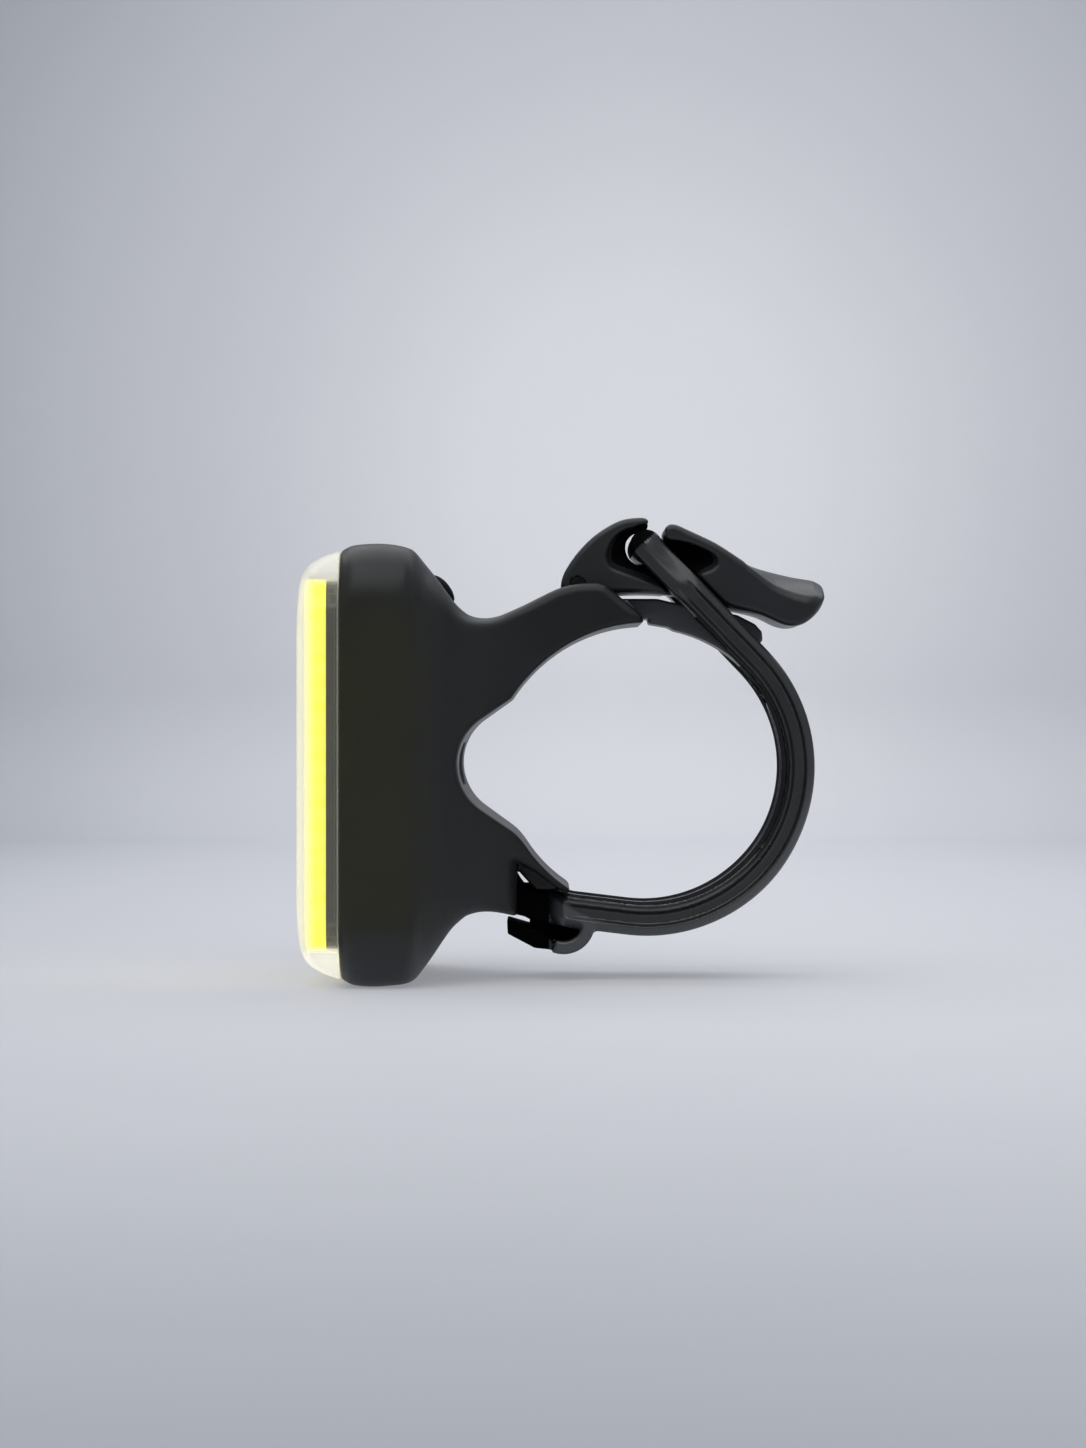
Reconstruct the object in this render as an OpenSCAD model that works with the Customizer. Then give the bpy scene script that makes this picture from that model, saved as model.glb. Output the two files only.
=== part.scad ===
// Bike headlight held to a handlebar by a rubber strap and a cam lever.
// Units are millimetres. The origin is on the bar's axis at mid width.
// X runs rearward (the beam goes to -X), Y runs along the bar and Z is up.

/* [Bar clamp] */
// Diameter of the bar that the closed strap holds
bar_d = 28.6; // [26:0.1:31.8]
// Width of the strap along the bar
strap_w = 17; // [14:0.1:18.4]
// Thickness of the strap
strap_t = 3; // [2.2:0.1:3.4]
// Width of the slot between the strap's two legs
strap_slot_w = 7.4; // [7.2:0.1:8.2]
// Diameter of the strap's crossbar that hooks in the lever
crossbar_d = 3.2; // [2.6:0.1:3.4]
// Diameter of the bar moulded in the lower arm that the strap clips on
anchor_d = 2.2; // [1.6:0.1:2.6]
// Thickness of the curled pull tab
pull_tab_t = 1.3; // [0.9:0.1:1.6]

/* [Housing] */
// Width and height of the square body
body_size = 44.6; // [43:0.1:48]
// Height of the body's middle above the bar's axis
body_rise = 0.3; // [0:0.1:1]
// Radius of the body's long edges
body_corner_r = 6; // [5.5:0.1:7]
// Depth from the lens joint to the bottom of the V seat
body_depth = 11.7; // [11.6:0.1:13]
// Distance from the bar to the bottom of the V seat
seat_gap = 5.05; // [4.4:0.05:6]
// Radius at the bottom of the V seat
seat_r = 5.6; // [5:0.1:7]
// Slope of the V seat's flanks
seat_slope = 35; // [33:1:38]
// Radius of the upper arm's hollow
saddle_r = 15.9; // [15.6:0.1:17]
// Width of the two arms
arm_w = 19; // [18.4:0.1:21]
// Width of the saddle where it leaves the body
saddle_w = 33; // [30:0.5:35]
// Thickness of the housing's wall
wall = 1.8; // [1.4:0.1:1.9]
// Width of the rim that the lens sits on
rim_w = 2.25; // [2.1:0.05:2.5]

/* [Lens] */
// Depth of the lens in front of the housing
lens_depth = 4.5; // [4.4:0.05:5.2]
// Thickness of the lens's front wall
lens_wall = 1; // [0.8:0.1:1.4]
// How much the lens narrows on each side from joint to front
lens_draft = 1.5; // [0.8:0.1:2]
// Radius of the lens's front edge
lens_edge_r = 1.4; // [0.8:0.1:1.8]
// Depth of the lens skirt inside the housing
skirt_depth = 0.55; // [0.3:0.05:0.6]
// Width of the lens gasket
gasket_w = 0.8; // [0.6:0.05:0.9]

/* [Light unit] */
// Thickness of the light panel
panel_t = 1.9; // [1.4:0.1:2]
// Thickness of the LED board
led_board_t = 1; // [0.8:0.1:1.1]
// Thickness of the heat spreader
spreader_t = 1; // [0.8:0.1:1.1]
// Diameter of the four board screws
screw_d = 1.6; // [1.4:0.1:1.8]
// Length of the four board screws
screw_l = 6; // [4.6:0.1:6.6]

/* [Electronics] */
// Thickness of the main board
board_t = 1; // [0.8:0.1:1.2]
// Thickness of the thermal pad
pad_t = 0.6; // [0.4:0.1:0.8]
// Thickness of the battery
battery_t = 4.4; // [3.6:0.1:4.6]
// Width of the battery
battery_w = 32; // [30:0.5:34.5]
// Height of the battery
battery_h = 12.4; // [11:0.1:14]
// Thickness of the foam between battery and board
foam_t = 0.5; // [0.3:0.1:0.6]
// Diameter of the battery leads
lead_d = 0.9; // [0.6:0.1:1]

/* [Button and port] */
// Length of the power button along the bar
button_l = 8.4; // [7:0.1:10]
// Width of the power button
button_w = 3.4; // [3:0.1:4.4]
// How far the power button stands out
button_out = 0.5; // [0.4:0.05:0.8]
// Travel of the power button
button_travel = 0.5; // [0.3:0.05:0.5]
// Width of the port bung's face
bung_w = 14.6; // [12.6:0.1:16]
// Height of the port bung's face
bung_h = 4.2; // [4:0.1:5]

/* [Lever] */
// Length of the lever
lever_l = 27.7; // [26.7:0.1:28.7]
// Width of the lever
lever_w = 13; // [12.4:0.1:13.6]
// Width of the lever between the strap's legs
lever_web_w = 6.4; // [6:0.1:7]
// Diameter of the lever pin
pin_d = 1.5; // [1.2:0.1:1.8]
// Width of the housing's ear between the two sides of the lever's hub
ear_w = 5; // [4:0.1:6]
// Radius of the lever's hub
hub_r = 1.75; // [1.6:0.05:1.9]
// Radius of the lever's hook notch
notch_r = 2.1; // [2:0.05:2.2]
// Width of the strap guide's tongue
guide_w = 6.2; // [5.6:0.1:6.9]

/* [Hidden] */
$fn = 64;
// Clearance of a turning pin, and of pieces that lie beside each other
run_gap = 0.05;
fit_gap = 0.1;
side_gap = 0.2;

bar_r = bar_d / 2;
strap_out_r = bar_r + strap_t;
strap_step = 0.1; // the legs and the foot are this much thinner than the band on each side
strap_mid_r = bar_r + strap_t / 2;

// Places along X, from the V seat forward
seat_x = -(bar_r + seat_gap);
joint_x = seat_x - body_depth;
front_x = joint_x - lens_depth;
cavity_back_x = seat_x - wall - 0.05;
half = body_size / 2;
joint_half = half - 0.75;
cavity_half = joint_half - rim_w;
mid_z = body_rise;
panel_x = front_x + lens_wall + 0.25;
led_x = panel_x + panel_t;
spreader_x = led_x + led_board_t;
boss_x = spreader_x + spreader_t;
board_x = boss_x + pad_t;
rear_x = board_x + board_t;
light_half = cavity_half - 0.7;

// Board screws: two up near the top corners, two beside the middle
screw_y = cavity_half - 3.1;
screw_places = [for (y = [screw_y, -screw_y], z = [cavity_half - 3.9, 0]) [y, mid_z + z]];
pins_z = mid_z - 0.725 * cavity_half;
battery_z = mid_z - cavity_half + 1.8;
boss_r = 2.2;
boss_nose_r = 1.5;

// Lever pivot and crossbar
pivot = [-7.1, bar_r + 4.6];
lever_u = lever_l / 27.7;
hook = pivot + lever_u * [7.05, 4];
notch_c = hook - [notch_r - crossbar_d / 2 - side_gap, 0];
arm_end_x = 0.05;
floor_z = bar_r + 1.1;
tab_r = 2.6; // corner of the thumb tab, seen from above
cheek_in = lever_w / 2 + side_gap;

// Strap: angle where the straight legs leave the bar's circle, and where the lower end leaves it
hook_len = norm(hook);
leg_angle = atan2(hook[1], hook[0]) - acos(strap_mid_r / hook_len);
leg_len = sqrt(hook_len * hook_len - strap_mid_r * strap_mid_r);
foot_angle = -96.6;
foot_x = -9.4; // where the strap narrows to its neck
slot_angle = 28;
anchor = [-(bar_r + 1.5), -(bar_r - 2.05)];
eye_r = anchor_d / 2 + 1.35;
neck_w = 12;
clevis_w = neck_w + 2 * side_gap;

// Power button: middle of its opening on the rear slope, and its tilt above +X
button_at = [seat_x - 1.7, mid_z + half - 3.85];
button_tilt = 39;
button_seat = 1.2;
flange_t = 0.8;
stem_l = 1.8;
switch_h = 1.5;
plunger_out = 0.5;
switch_w = 4.5;

// USB socket
usb_w = 8.94;
usb_h = 3.16;
usb_t = 0.3;
usb_mouth_x = seat_x - 1.15;
bung_gap = 0.12;

// A point of a smooth curve through p1 and p2
function bend(p0, p1, p2, p3, t) = 0.5 * (2 * p1 + (p2 - p0) * t + (2 * p0 - 5 * p1 + 4 * p2 - p3) * t * t
    + (3 * p1 - p0 - 3 * p2 + p3) * t * t * t);
// A smooth curve through the points, with n steps between each two
function curve(p, n = 4) = concat([for (i = [0 : len(p) - 2]) for (k = [0 : n - 1])
    bend(p[max(i - 1, 0)], p[i], p[i + 1], p[min(i + 2, len(p) - 1)], k / n)], [p[len(p) - 1]]);
function polar(r, a) = [r * cos(a), r * sin(a)];
function arc(c, r, a0, a1, n = 12) = [for (i = [0 : n]) c + polar(r, a0 + (a1 - a0) * i / n)];
// Half width of the saddle and arms along X, seen from above
function plan() = curve([[seat_x - 4, saddle_w / 2 + 1.5], [seat_x, saddle_w / 2], [-bar_r - 2, arm_w / 2 + 4.4],
    [-bar_r + 1, arm_w / 2 + 1.7], [-bar_r + 4.5, arm_w / 2 + 0.3], [-bar_r + 7, arm_w / 2]], 3);

// An XZ outline extruded along Y about mid width
module side(w) rotate([90, 0, 0]) linear_extrude(w, center = true) children();
// A YZ outline extruded along X from x0
module front(x0, d) translate([x0, 0, 0]) rotate([90, 0, 90]) linear_extrude(d) children();
module rounded(w, h, r) {
    square([w - 2 * r, h], center = true);
    square([w, h - 2 * r], center = true);
    for (sy = [-1, 1], sz = [-1, 1]) translate([sy * (w / 2 - r), sz * (h / 2 - r)]) circle(r);
}
module slab(x0, d, w, h, r) front(x0, d) translate([0, mid_z]) rounded(w, h, r);
// A rod along X with its ends at x0 and x0 + d
module rod(x0, d, y, z, r) translate([x0, y, z]) rotate([0, 90, 0]) cylinder(r = r, h = d);
// Places a child on the rear of the main board, by shares of its half size
module on_board(y, z) translate([rear_x, y * cavity_half, mid_z + z * cavity_half]) children();
// A rod along Y about mid width
module axle(p, r, w) translate([p[0], 0, p[1]]) rotate([90, 0, 0]) cylinder(r = r, h = w, center = true);
// Places a child on the button's axis, with +Z outward and X along the bar
module on_button(out = 0) translate([button_at[0], 0, button_at[1]]) rotate([0, 90 - button_tilt, 0])
    rotate(90) translate([0, 0, out]) children();
module stadium(l, w, h) linear_extrude(h) rounded(l, w, w / 2 - 0.01);

// The space that the bar and the V seat leave free, as an XZ outline
module bar_space() {
    seat_c = [seat_x + seat_r, mid_z];
    n = [-sin(seat_slope), cos(seat_slope)];
    d = [cos(seat_slope), sin(seat_slope)];
    tp = seat_r * n;
    translate(seat_c) circle(seat_r);
    polygon([seat_c + tp, seat_c + tp + 8 * d, seat_c + [tp[0] + 8 * d[0], -tp[1] - 8 * d[1]],
        seat_c + [tp[0], -tp[1]]]);
    circle(bar_r + 0.5);
    intersection() {
        translate([-0.5, bar_r + 0.1 - saddle_r]) circle(saddle_r);
        translate([-30, 2]) square([60, 30]);
    }
}

// Saddle and both arms, as an XZ outline
module arms_outline() {
    top = curve([[-bar_r - 7.6, bar_r + 5], [-bar_r - 6.2, bar_r + 3.5], [-bar_r - 4.8, bar_r + 2],
        [-bar_r - 3.5, bar_r + 1.3], [-bar_r - 2.2, bar_r + 1.1], [-bar_r - 0.9, bar_r + 1.3],
        [-bar_r + 1.7, bar_r + 2.5], [-9, bar_r + 4.15], [-6.5, bar_r + 4.6], [-4.7, bar_r + 4.65]]);
    end = [[-4.2, bar_r + 4.45], [-0.75, bar_r + 2.1], [-0.35, bar_r + 1.4], [-0.28, bar_r + 0.7],
        [arm_end_x, bar_r + 0.5], [arm_end_x, bar_r - 4]];
    finger = curve([[-7.9, -bar_r + 1.25], [-9.6, -bar_r + 2.15], [-11.4, -bar_r + 3.55], [-13.4, -bar_r + 4.6]]);
    bottom = curve([[-bar_r + 0.8, -bar_r - 0.95], [-bar_r - 1.5, -bar_r - 0.45], [-bar_r - 3.5, -bar_r - 0.5],
        [-bar_r - 4.8, -bar_r - 1.1], [-bar_r - 6, -bar_r - 2.3], [-bar_r - 7.6, -bar_r - 4.4]]);
    polygon(concat(top, end, [[-7.9, 0]], finger, bottom));
}

// One rounded square of the body's taper
module slice(x, w, h, r) slab(x, 0.01, w, h, r, $fn = 32);

module body_form() hull() {
    slice(joint_x, 2 * joint_half, 2 * joint_half, body_corner_r - 0.5);
    slice(joint_x + 1.7, body_size - 0.4, body_size - 0.4, body_corner_r);
    slice(joint_x + 3.5, body_size, body_size, body_corner_r);
    slice(joint_x + 5.5, body_size - 0.4, body_size - 0.4, body_corner_r);
    slice(joint_x + 7, body_size - 1.2, body_size - 1.2, body_corner_r);
    slice(joint_x + 8.2, body_size - 3.2, body_size - 3.2, body_corner_r - 0.3);
    slice(joint_x + 12.2, saddle_w, 2 * bar_r + 2.8, 4.5);
}

module cavity() {
    slab(joint_x - 1, 8.6, 2 * cavity_half, 2 * cavity_half, body_corner_r - 1.5);
    intersection() {
        side(60) polygon([for (s = [1, -1], p = s > 0 ? [0, 1] : [1, 0])
            [p == 0 ? joint_x + 7.5 : cavity_back_x, mid_z + s * (p == 0 ? 1 : 0.7) * cavity_half]]);
        translate([0, 0, -30]) linear_extrude(60) polygon([for (s = [1, -1], p = s > 0 ? [0, 1] : [1, 0])
            [p == 0 ? joint_x + 7.5 : cavity_back_x, s * (p == 0 ? 1 : 0.674) * cavity_half]]);
        slab(joint_x, 20, 2 * cavity_half, 2 * cavity_half, body_corner_r - 1.5);
    }
}

module housing() color([0.09, 0.1, 0.105]) difference() {
    union() {
        difference() {
            union() {
                body_form();
                intersection() {
                    side(60) arms_outline();
                    translate([0, 0, -30]) linear_extrude(60) polygon(concat(
                        plan(), [[1, arm_w / 2], [1, -arm_w / 2]],
                        [for (i = [len(plan()) - 1 : -1 : 0]) [plan()[i][0], -plan()[i][1]]]));
                }
            }
            cavity();
        }
        intersection() {
            for (p = screw_places) {
                rod(rear_x, cavity_back_x - rear_x + 1, p[0], p[1], boss_r);
                rod(boss_x, rear_x - boss_x + 0.5, p[0], p[1], boss_nose_r);
                translate([rear_x, p[0] > 0 ? p[0] : p[0] - 3.4, p[1] - 1]) cube([5, 3.4, 2]);
            }
            body_form();
        }
    }
    // Bar and V seat
    side(60) bar_space();
    // Upper clevis for the lever, around the ear that holds its pin
    difference() {
        union() {
            axle(pivot, hub_r + 1.6, 2 * cheek_in);
            side(2 * cheek_in) polygon([pivot + [0, 12], pivot, [pivot[0], floor_z], [1, floor_z],
                [1, pivot[1] + 12]]);
        }
        axle(pivot, hub_r - 0.1, ear_w);
        side(ear_w) translate(pivot) polygon([[-1.2, -1.1], [1.2, -1.1], [1.5, -5], [-1.9, -5]]);
    }
    axle(pivot, pin_d / 2 + run_gap / 4, 2 * cheek_in);
    // Snap recesses of the strap guide
    axle([-2.6, floor_z + 0.9], 0.65, 2 * (cheek_in + 0.45));
    // Lower clevis for the strap's end, around the moulded anchor bar
    difference() {
        union() {
            axle(anchor, eye_r + 0.35, clevis_w);
            side(clevis_w) polygon([anchor + [-eye_r - 0.35, 0], anchor + [0, eye_r + 0.35], anchor + [4, eye_r],
                anchor + [4, -6], anchor + [-eye_r + 0.4, -6]]);
        }
        axle(anchor, anchor_d / 2, clevis_w + 1);
        side(clevis_w + 1) polygon(concat(arc([0, 0], bar_r + 2.8, -136, -150), [[-14, -5], [-8, -8]]));
    }
    // Gasket groove in the rim
    difference() {
        slab(joint_x - 0.01, 0.81, 2 * (cavity_half + 0.55 + gasket_w), 2 * (cavity_half + 0.55 + gasket_w),
            body_corner_r - 0.6);
        slab(joint_x - 1, 3, 2 * (cavity_half + 0.55), 2 * (cavity_half + 0.55), body_corner_r - 1.2);
    }
    // Opening and inner seat of the power button
    on_button(-4) stadium(button_l + 0.3, button_w + 0.3, 8);
    on_button(-button_seat - 3) stadium(button_l + 3.2, button_w + 3.2, 3);
    // Charging port and the pocket of its bung
    front(cavity_back_x - 1, 6) translate([0, mid_z]) rounded(usb_w + 0.3, usb_h + 0.3, usb_h / 2);
    front(usb_mouth_x, 4) translate([0, mid_z]) rounded(bung_w + 0.3, bung_h + 0.3, bung_h / 2);
    // Screw holes
    for (p = screw_places) rod(boss_x - 1, screw_l + 0.3, p[0], p[1], screw_d / 2 + 0.02);
}

module lens_slice(x, s, r) slab(x, 0.01, 2 * s, 2 * s, r, $fn = 40);

module lens() color([0.93, 0.93, 0.88, 0.6]) difference() {
    union() {
        hull() {
            lens_slice(joint_x - 0.01, joint_half, body_corner_r - 0.5);
            lens_slice(front_x + lens_edge_r, joint_half - lens_draft + 0.35, body_corner_r - 0.7);
            lens_slice(front_x + lens_edge_r * 0.3, joint_half - lens_draft - lens_edge_r * 0.25, body_corner_r - 1);
            lens_slice(front_x, joint_half - lens_draft - lens_edge_r, body_corner_r - 1.4);
        }
        slab(joint_x - 0.5, skirt_depth + 0.5, 2 * cavity_half - 0.2, 2 * cavity_half - 0.2, body_corner_r - 1.6);
    }
    slab(panel_x - 0.25, 10, 2 * light_half + 0.4, 2 * light_half + 0.4, body_corner_r - 2.2);
}

module lens_gasket() color([0.25, 0.25, 0.26]) difference() {
    slab(joint_x, 0.8, 2 * (cavity_half + 0.53 + gasket_w), 2 * (cavity_half + 0.53 + gasket_w),
        body_corner_r - 0.6);
    slab(joint_x - 1, 3, 2 * (cavity_half + 0.57), 2 * (cavity_half + 0.57), body_corner_r - 1.2);
}

module light_panel() color([1, 0.9, 0.3]) slab(panel_x, panel_t, 2 * light_half, 2 * light_half, body_corner_r - 2.4);

module led_board() color([0.3, 0.31, 0.3]) difference() {
    slab(led_x, led_board_t, 2 * light_half, 2 * light_half, body_corner_r - 2.4);
    for (p = screw_places) {
        rod(led_x - 1, led_board_t + 2, p[0], p[1], screw_d / 2 + fit_gap);
        translate([led_x, p[0], p[1]]) rotate([0, 90, 0])
            cylinder(r1 = screw_d * 0.9 + fit_gap, r2 = screw_d / 2 + fit_gap, h = screw_d * 0.4);
    }
}

module heat_spreader() color([0.72, 0.73, 0.75]) difference() {
    slab(spreader_x, spreader_t, 2 * light_half, 2 * light_half, body_corner_r - 2.4);
    for (p = screw_places) rod(spreader_x - 1, spreader_t + 2, p[0], p[1], screw_d / 2 + fit_gap);
    for (s = [-1, 1]) rod(spreader_x - 1, spreader_t + 2, 3 * s, pins_z, 0.9);
}

module board_screws() color([0.6, 0.6, 0.62]) for (p = screw_places) translate([led_x, p[0], p[1]]) rotate([0, 90, 0])
    difference() {
        union() {
            cylinder(r1 = screw_d * 0.9, r2 = screw_d / 2, h = screw_d * 0.4);
            cylinder(d = screw_d, h = screw_l);
        }
        for (a = [0, 90]) rotate(a) translate([-screw_d * 0.6, -0.2, -0.1]) cube([screw_d * 1.2, 0.4, 0.6]);
    }

module thermal_pad() color([0.55, 0.6, 0.7]) slab(boss_x, pad_t, 1.18 * light_half, 0.75 * light_half, 0.5);

module main_board() color([0.05, 0.25, 0.12]) difference() {
    slab(board_x, board_t, 2 * cavity_half - 0.8, 2 * cavity_half - 0.8, body_corner_r - 1.9);
    for (p = screw_places) rod(board_x - 1, board_t + 2, p[0], p[1], boss_nose_r + fit_gap);
}

module led_pins() color([0.85, 0.7, 0.3]) for (s = [-1, 1])
    rod(spreader_x, board_x - spreader_x, 3 * s, pins_z, 0.4);

module battery_foam() color([0.2, 0.2, 0.22]) translate([rear_x, -battery_w / 2 + 4, battery_z + 1.5])
    cube([foam_t, battery_w - 8, battery_h - 3]);

module battery() color([0.62, 0.66, 0.72]) translate([0, 0, battery_z - mid_z + battery_h / 2])
    slab(rear_x + foam_t, battery_t, battery_w, battery_h, 1.2);

module battery_leads() color([0.6, 0.1, 0.1]) for (s = [-1, 1])
    translate([rear_x + 1.4, 0.22 * battery_w * s, battery_z + battery_h]) {
        rotate([90, 0, 0]) rotate_extrude(angle = 90) translate([1.4, 0]) circle(d = lead_d);
        rod(-1.4, 1.4, 0, 1.4, lead_d / 2);
    }

module usb_shell() color([0.7, 0.7, 0.72]) difference() {
    slab(rear_x, usb_mouth_x - rear_x, usb_w, usb_h, usb_h / 2 - 0.05);
    slab(rear_x - 1, 20, usb_w - 2 * usb_t, usb_h - 2 * usb_t, usb_h / 2 - usb_t - 0.05);
}

module usb_insert() color([0.08, 0.08, 0.09]) {
    slab(rear_x, 1.9, usb_w - 2 * usb_t - 0.04, usb_h - 2 * usb_t - 0.04, usb_h / 2 - usb_t - 0.07);
    slab(rear_x + 1, usb_mouth_x - rear_x - 1.8, 6.69, 0.7, 0.2);
}

module port_bung() color([0.07, 0.07, 0.075]) difference() {
    union() {
        slab(usb_mouth_x + 0.03, 3, bung_w, bung_h, bung_h / 2 - 0.05);
        slab(usb_mouth_x - 2.4, 3, usb_w - 2 * usb_t - 2 * bung_gap, usb_h - 2 * usb_t - 2 * bung_gap,
            usb_h / 2 - usb_t - bung_gap - 0.05);
    }
    axle([seat_x + seat_r - 0.05, mid_z], seat_r, 40);
    translate([seat_x + seat_r - 3, -20, -20]) cube([20, 40, 40]);
    slab(usb_mouth_x - 3, 3, 6.69 + 0.5, 0.7 + 0.5, 0.3);
}

module driver_inductor() color([0.2, 0.2, 0.21]) on_board(0.36, 0.18) cube([2, 4.5, 4.5]);
module control_chip() color([0.1, 0.1, 0.11]) on_board(-0.6, 0.21) cube([0.9, 4, 4]);
module charge_chip() color([0.1, 0.1, 0.11]) on_board(-0.675, -0.135) cube([0.8, 3, 3]);
module board_capacitors() color([0.75, 0.6, 0.45]) for (k = [0 : 3])
    on_board(-0.62 + 0.155 * k + (k > 1 ? 0.725 : 0), 0.52) cube([0.8, 1.6, 0.8]);

// Outward distance from the button's opening down to the tact switch's base
switch_base = -(button_seat + flange_t + stem_l + plunger_out + switch_h);

module switch_bracket() color([0.15, 0.15, 0.16]) intersection() {
    on_button(switch_base - 8) translate([-3.5, -3, 0]) cube([7, 6, 8]);
    translate([rear_x, -10, mid_z]) cube([20, 20, cavity_half - 0.3]);
}

module tact_switch() color([0.12, 0.12, 0.13]) on_button(switch_base) difference() {
    translate([-switch_w / 2, -switch_w / 2, 0]) cube([switch_w, switch_w, switch_h]);
    translate([0, 0, 0.4]) cylinder(r = 1.1 + run_gap, h = 5);
}

module switch_plunger() color([0.6, 0.55, 0.2]) on_button(switch_base + 0.4 + button_travel + 0.1)
    cylinder(r = 1.1, h = switch_h + plunger_out - 0.5 - button_travel);

module power_button() color([0.06, 0.065, 0.07]) on_button() {
    difference() {
        translate([0, 0, -button_seat - 0.1]) stadium(button_l, button_w, button_seat + 0.1 + button_out);
        for (s = [-1, 1]) translate([0, s * (button_w / 2), button_out]) rotate([45, 0, 0])
            cube([20, 0.5, 0.5], center = true);
    }
    translate([0, 0, -button_seat - flange_t]) stadium(button_l + 2.8, button_w + 2.8, flange_t);
    translate([0, 0, -button_seat - flange_t - stem_l]) cylinder(r = 1.2, h = stem_l + 0.1);
}

// Part of a ring between two angles, as an XZ outline
module ring_part(r0, r1, a0, a1) intersection() {
    difference() {
        circle(r1);
        circle(r0);
    }
    polygon(concat([[0, 0]], arc([0, 0], 2 * r1, a0, a1, 8)));
}

module strap_leg_outline() {
    ring_part(bar_r, strap_out_r, foot_angle, leg_angle);
    rotate(leg_angle - 90) translate([-leg_len, bar_r + strap_step])
        square([leg_len + 1, strap_t - 2 * strap_step]);
}

// Lower end of the strap: straight run, neck and clip eye
module strap_foot_outline() {
    p0 = polar(bar_r + strap_step, foot_angle);
    p1 = polar(strap_out_r - strap_step, foot_angle);
    polygon([polar(bar_r + strap_step, foot_angle + 3), p0, [-7.2, -bar_r + 0.65],
        anchor + [3.1, 0.1], anchor + [2.2, 1.2], anchor + [0, eye_r - 0.15],
        anchor + [0, -eye_r + 0.15], anchor + [2.4, -eye_r - 0.6], [-8, p1[1] + 0.75],
        p1, polar(strap_out_r - strap_step, foot_angle + 3)]);
    translate(anchor) circle(eye_r);
}

module pull_tab_outline(tail) {
    c = [-8.6, -bar_r - 1.7];
    if (tail) translate(c) polygon([[-1.2, -2.9], [-2.98, -2.75], [-5.77, -1.3], [-5.84, 0.05], [-3.6, -0.6],
        [-2.2, -1], [-1, -2.2]]);
    else translate(c) ring_part(3.25 - pull_tab_t, 3.25, -118, 12);
}

module strap() color([0.05, 0.055, 0.06]) difference() {
    union() {
        difference() {
            side(strap_w) union() {
                strap_leg_outline();
                intersection() {
                    strap_foot_outline();
                    translate([foot_x, -40]) square([40, 60]);
                }
                pull_tab_outline(false);
            }
            // Slot between the legs
            side(strap_slot_w) rotate(slot_angle) square([40, 60]);
        }
        side(neck_w) intersection() {
            strap_foot_outline();
            translate([-40, -40]) square([40 + foot_x, 60]);
        }
        side(neck_w - 1.2) pull_tab_outline(true);
        // Web inside the curl
        side(neck_w - 3) translate([-8.6, -bar_r - 1.7]) polygon([[-3.5, -0.9], [-3.5, 0], [-0.4, 0.3], [2.2, -0.3],
            [1.2, -2.1], [-1.2, -2.4]]);
        axle(hook, crossbar_d / 2, strap_w);
    }
    // Eye around the anchor bar, with a slit to clip it on
    axle(anchor, anchor_d / 2 + run_gap, 40);
    side(40) translate(anchor) rotate(196) translate([0, -0.55]) square([6, 1.1]);
    // Shallow channel in each side face
    for (s = [-1, 1]) translate([0, s * strap_w / 2, 0]) side(0.8)
        ring_part(bar_r + 0.9, strap_out_r - 0.8, foot_angle + 2, slot_angle);
}

// Lever outline, measured from its pivot
module lever_outline() {
    back = curve([[-1.72, 0.3], [-1.3, 1.4], [0, 3.3], [1.9, 5.15], [4.3, 6.6], [6.4, 6.9], [7.2, 6.7], [7.38, 6.2]], 3);
    nose = [[7.2, 5.7], [8.9, 5.5], [9.1, 6], [9.6, 6.2]];
    top = curve([[10.9, 5.9], [14.2, 4.35], [17.5, 2.3], [19.9, 1.6], [22.4, 1], [24.6, 0.65], [25.6, 0.1],
        [25.9, -0.5]], 3);
    tip = curve([[25.8, -1.3], [24.9, -2.8], [23.6, -4], [22.4, -4.35], [21, -4.1], [18.8, -3.1], [16.3, -2.5],
        [13.4, -1.7], [9.5, -0.95], [5.5, -0.8], [2.4, -1.1], [0.9, -1.55]], 3);
    translate(pivot) polygon(concat(lever_u * back, lever_u * nose, lever_u * top, lever_u * tip,
        arc([0, 0], hub_r, -80, -176, 10)));
}

// Hollows beside the lever's web, around the notch and the strap's legs, measured from the pivot
module lever_hollow() {
    translate(pivot) polygon(lever_u * concat(
        curve([[7.3, 5.9], [5.2, 5.7], [3.8, 4.9], [2.9, 3.6], [2.8, 2.5], [3.6, 1.5], [5.8, 0.7], [8.2, -0.2],
            [9.6, -0.6]], 2),
        [[12.6, 0.2]], curve([[12.8, 1.1], [13.9, 1.4], [14.5, 2.2], [14, 3.1], [11.6, 4.2], [9.4, 4.6]], 2)));
    rotate(leg_angle - 90) translate([-leg_len, bar_r - 0.4]) square([leg_len + 4, strap_t + 0.8]);
    translate(hook) circle(crossbar_d / 2 + 0.8);
}

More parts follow.
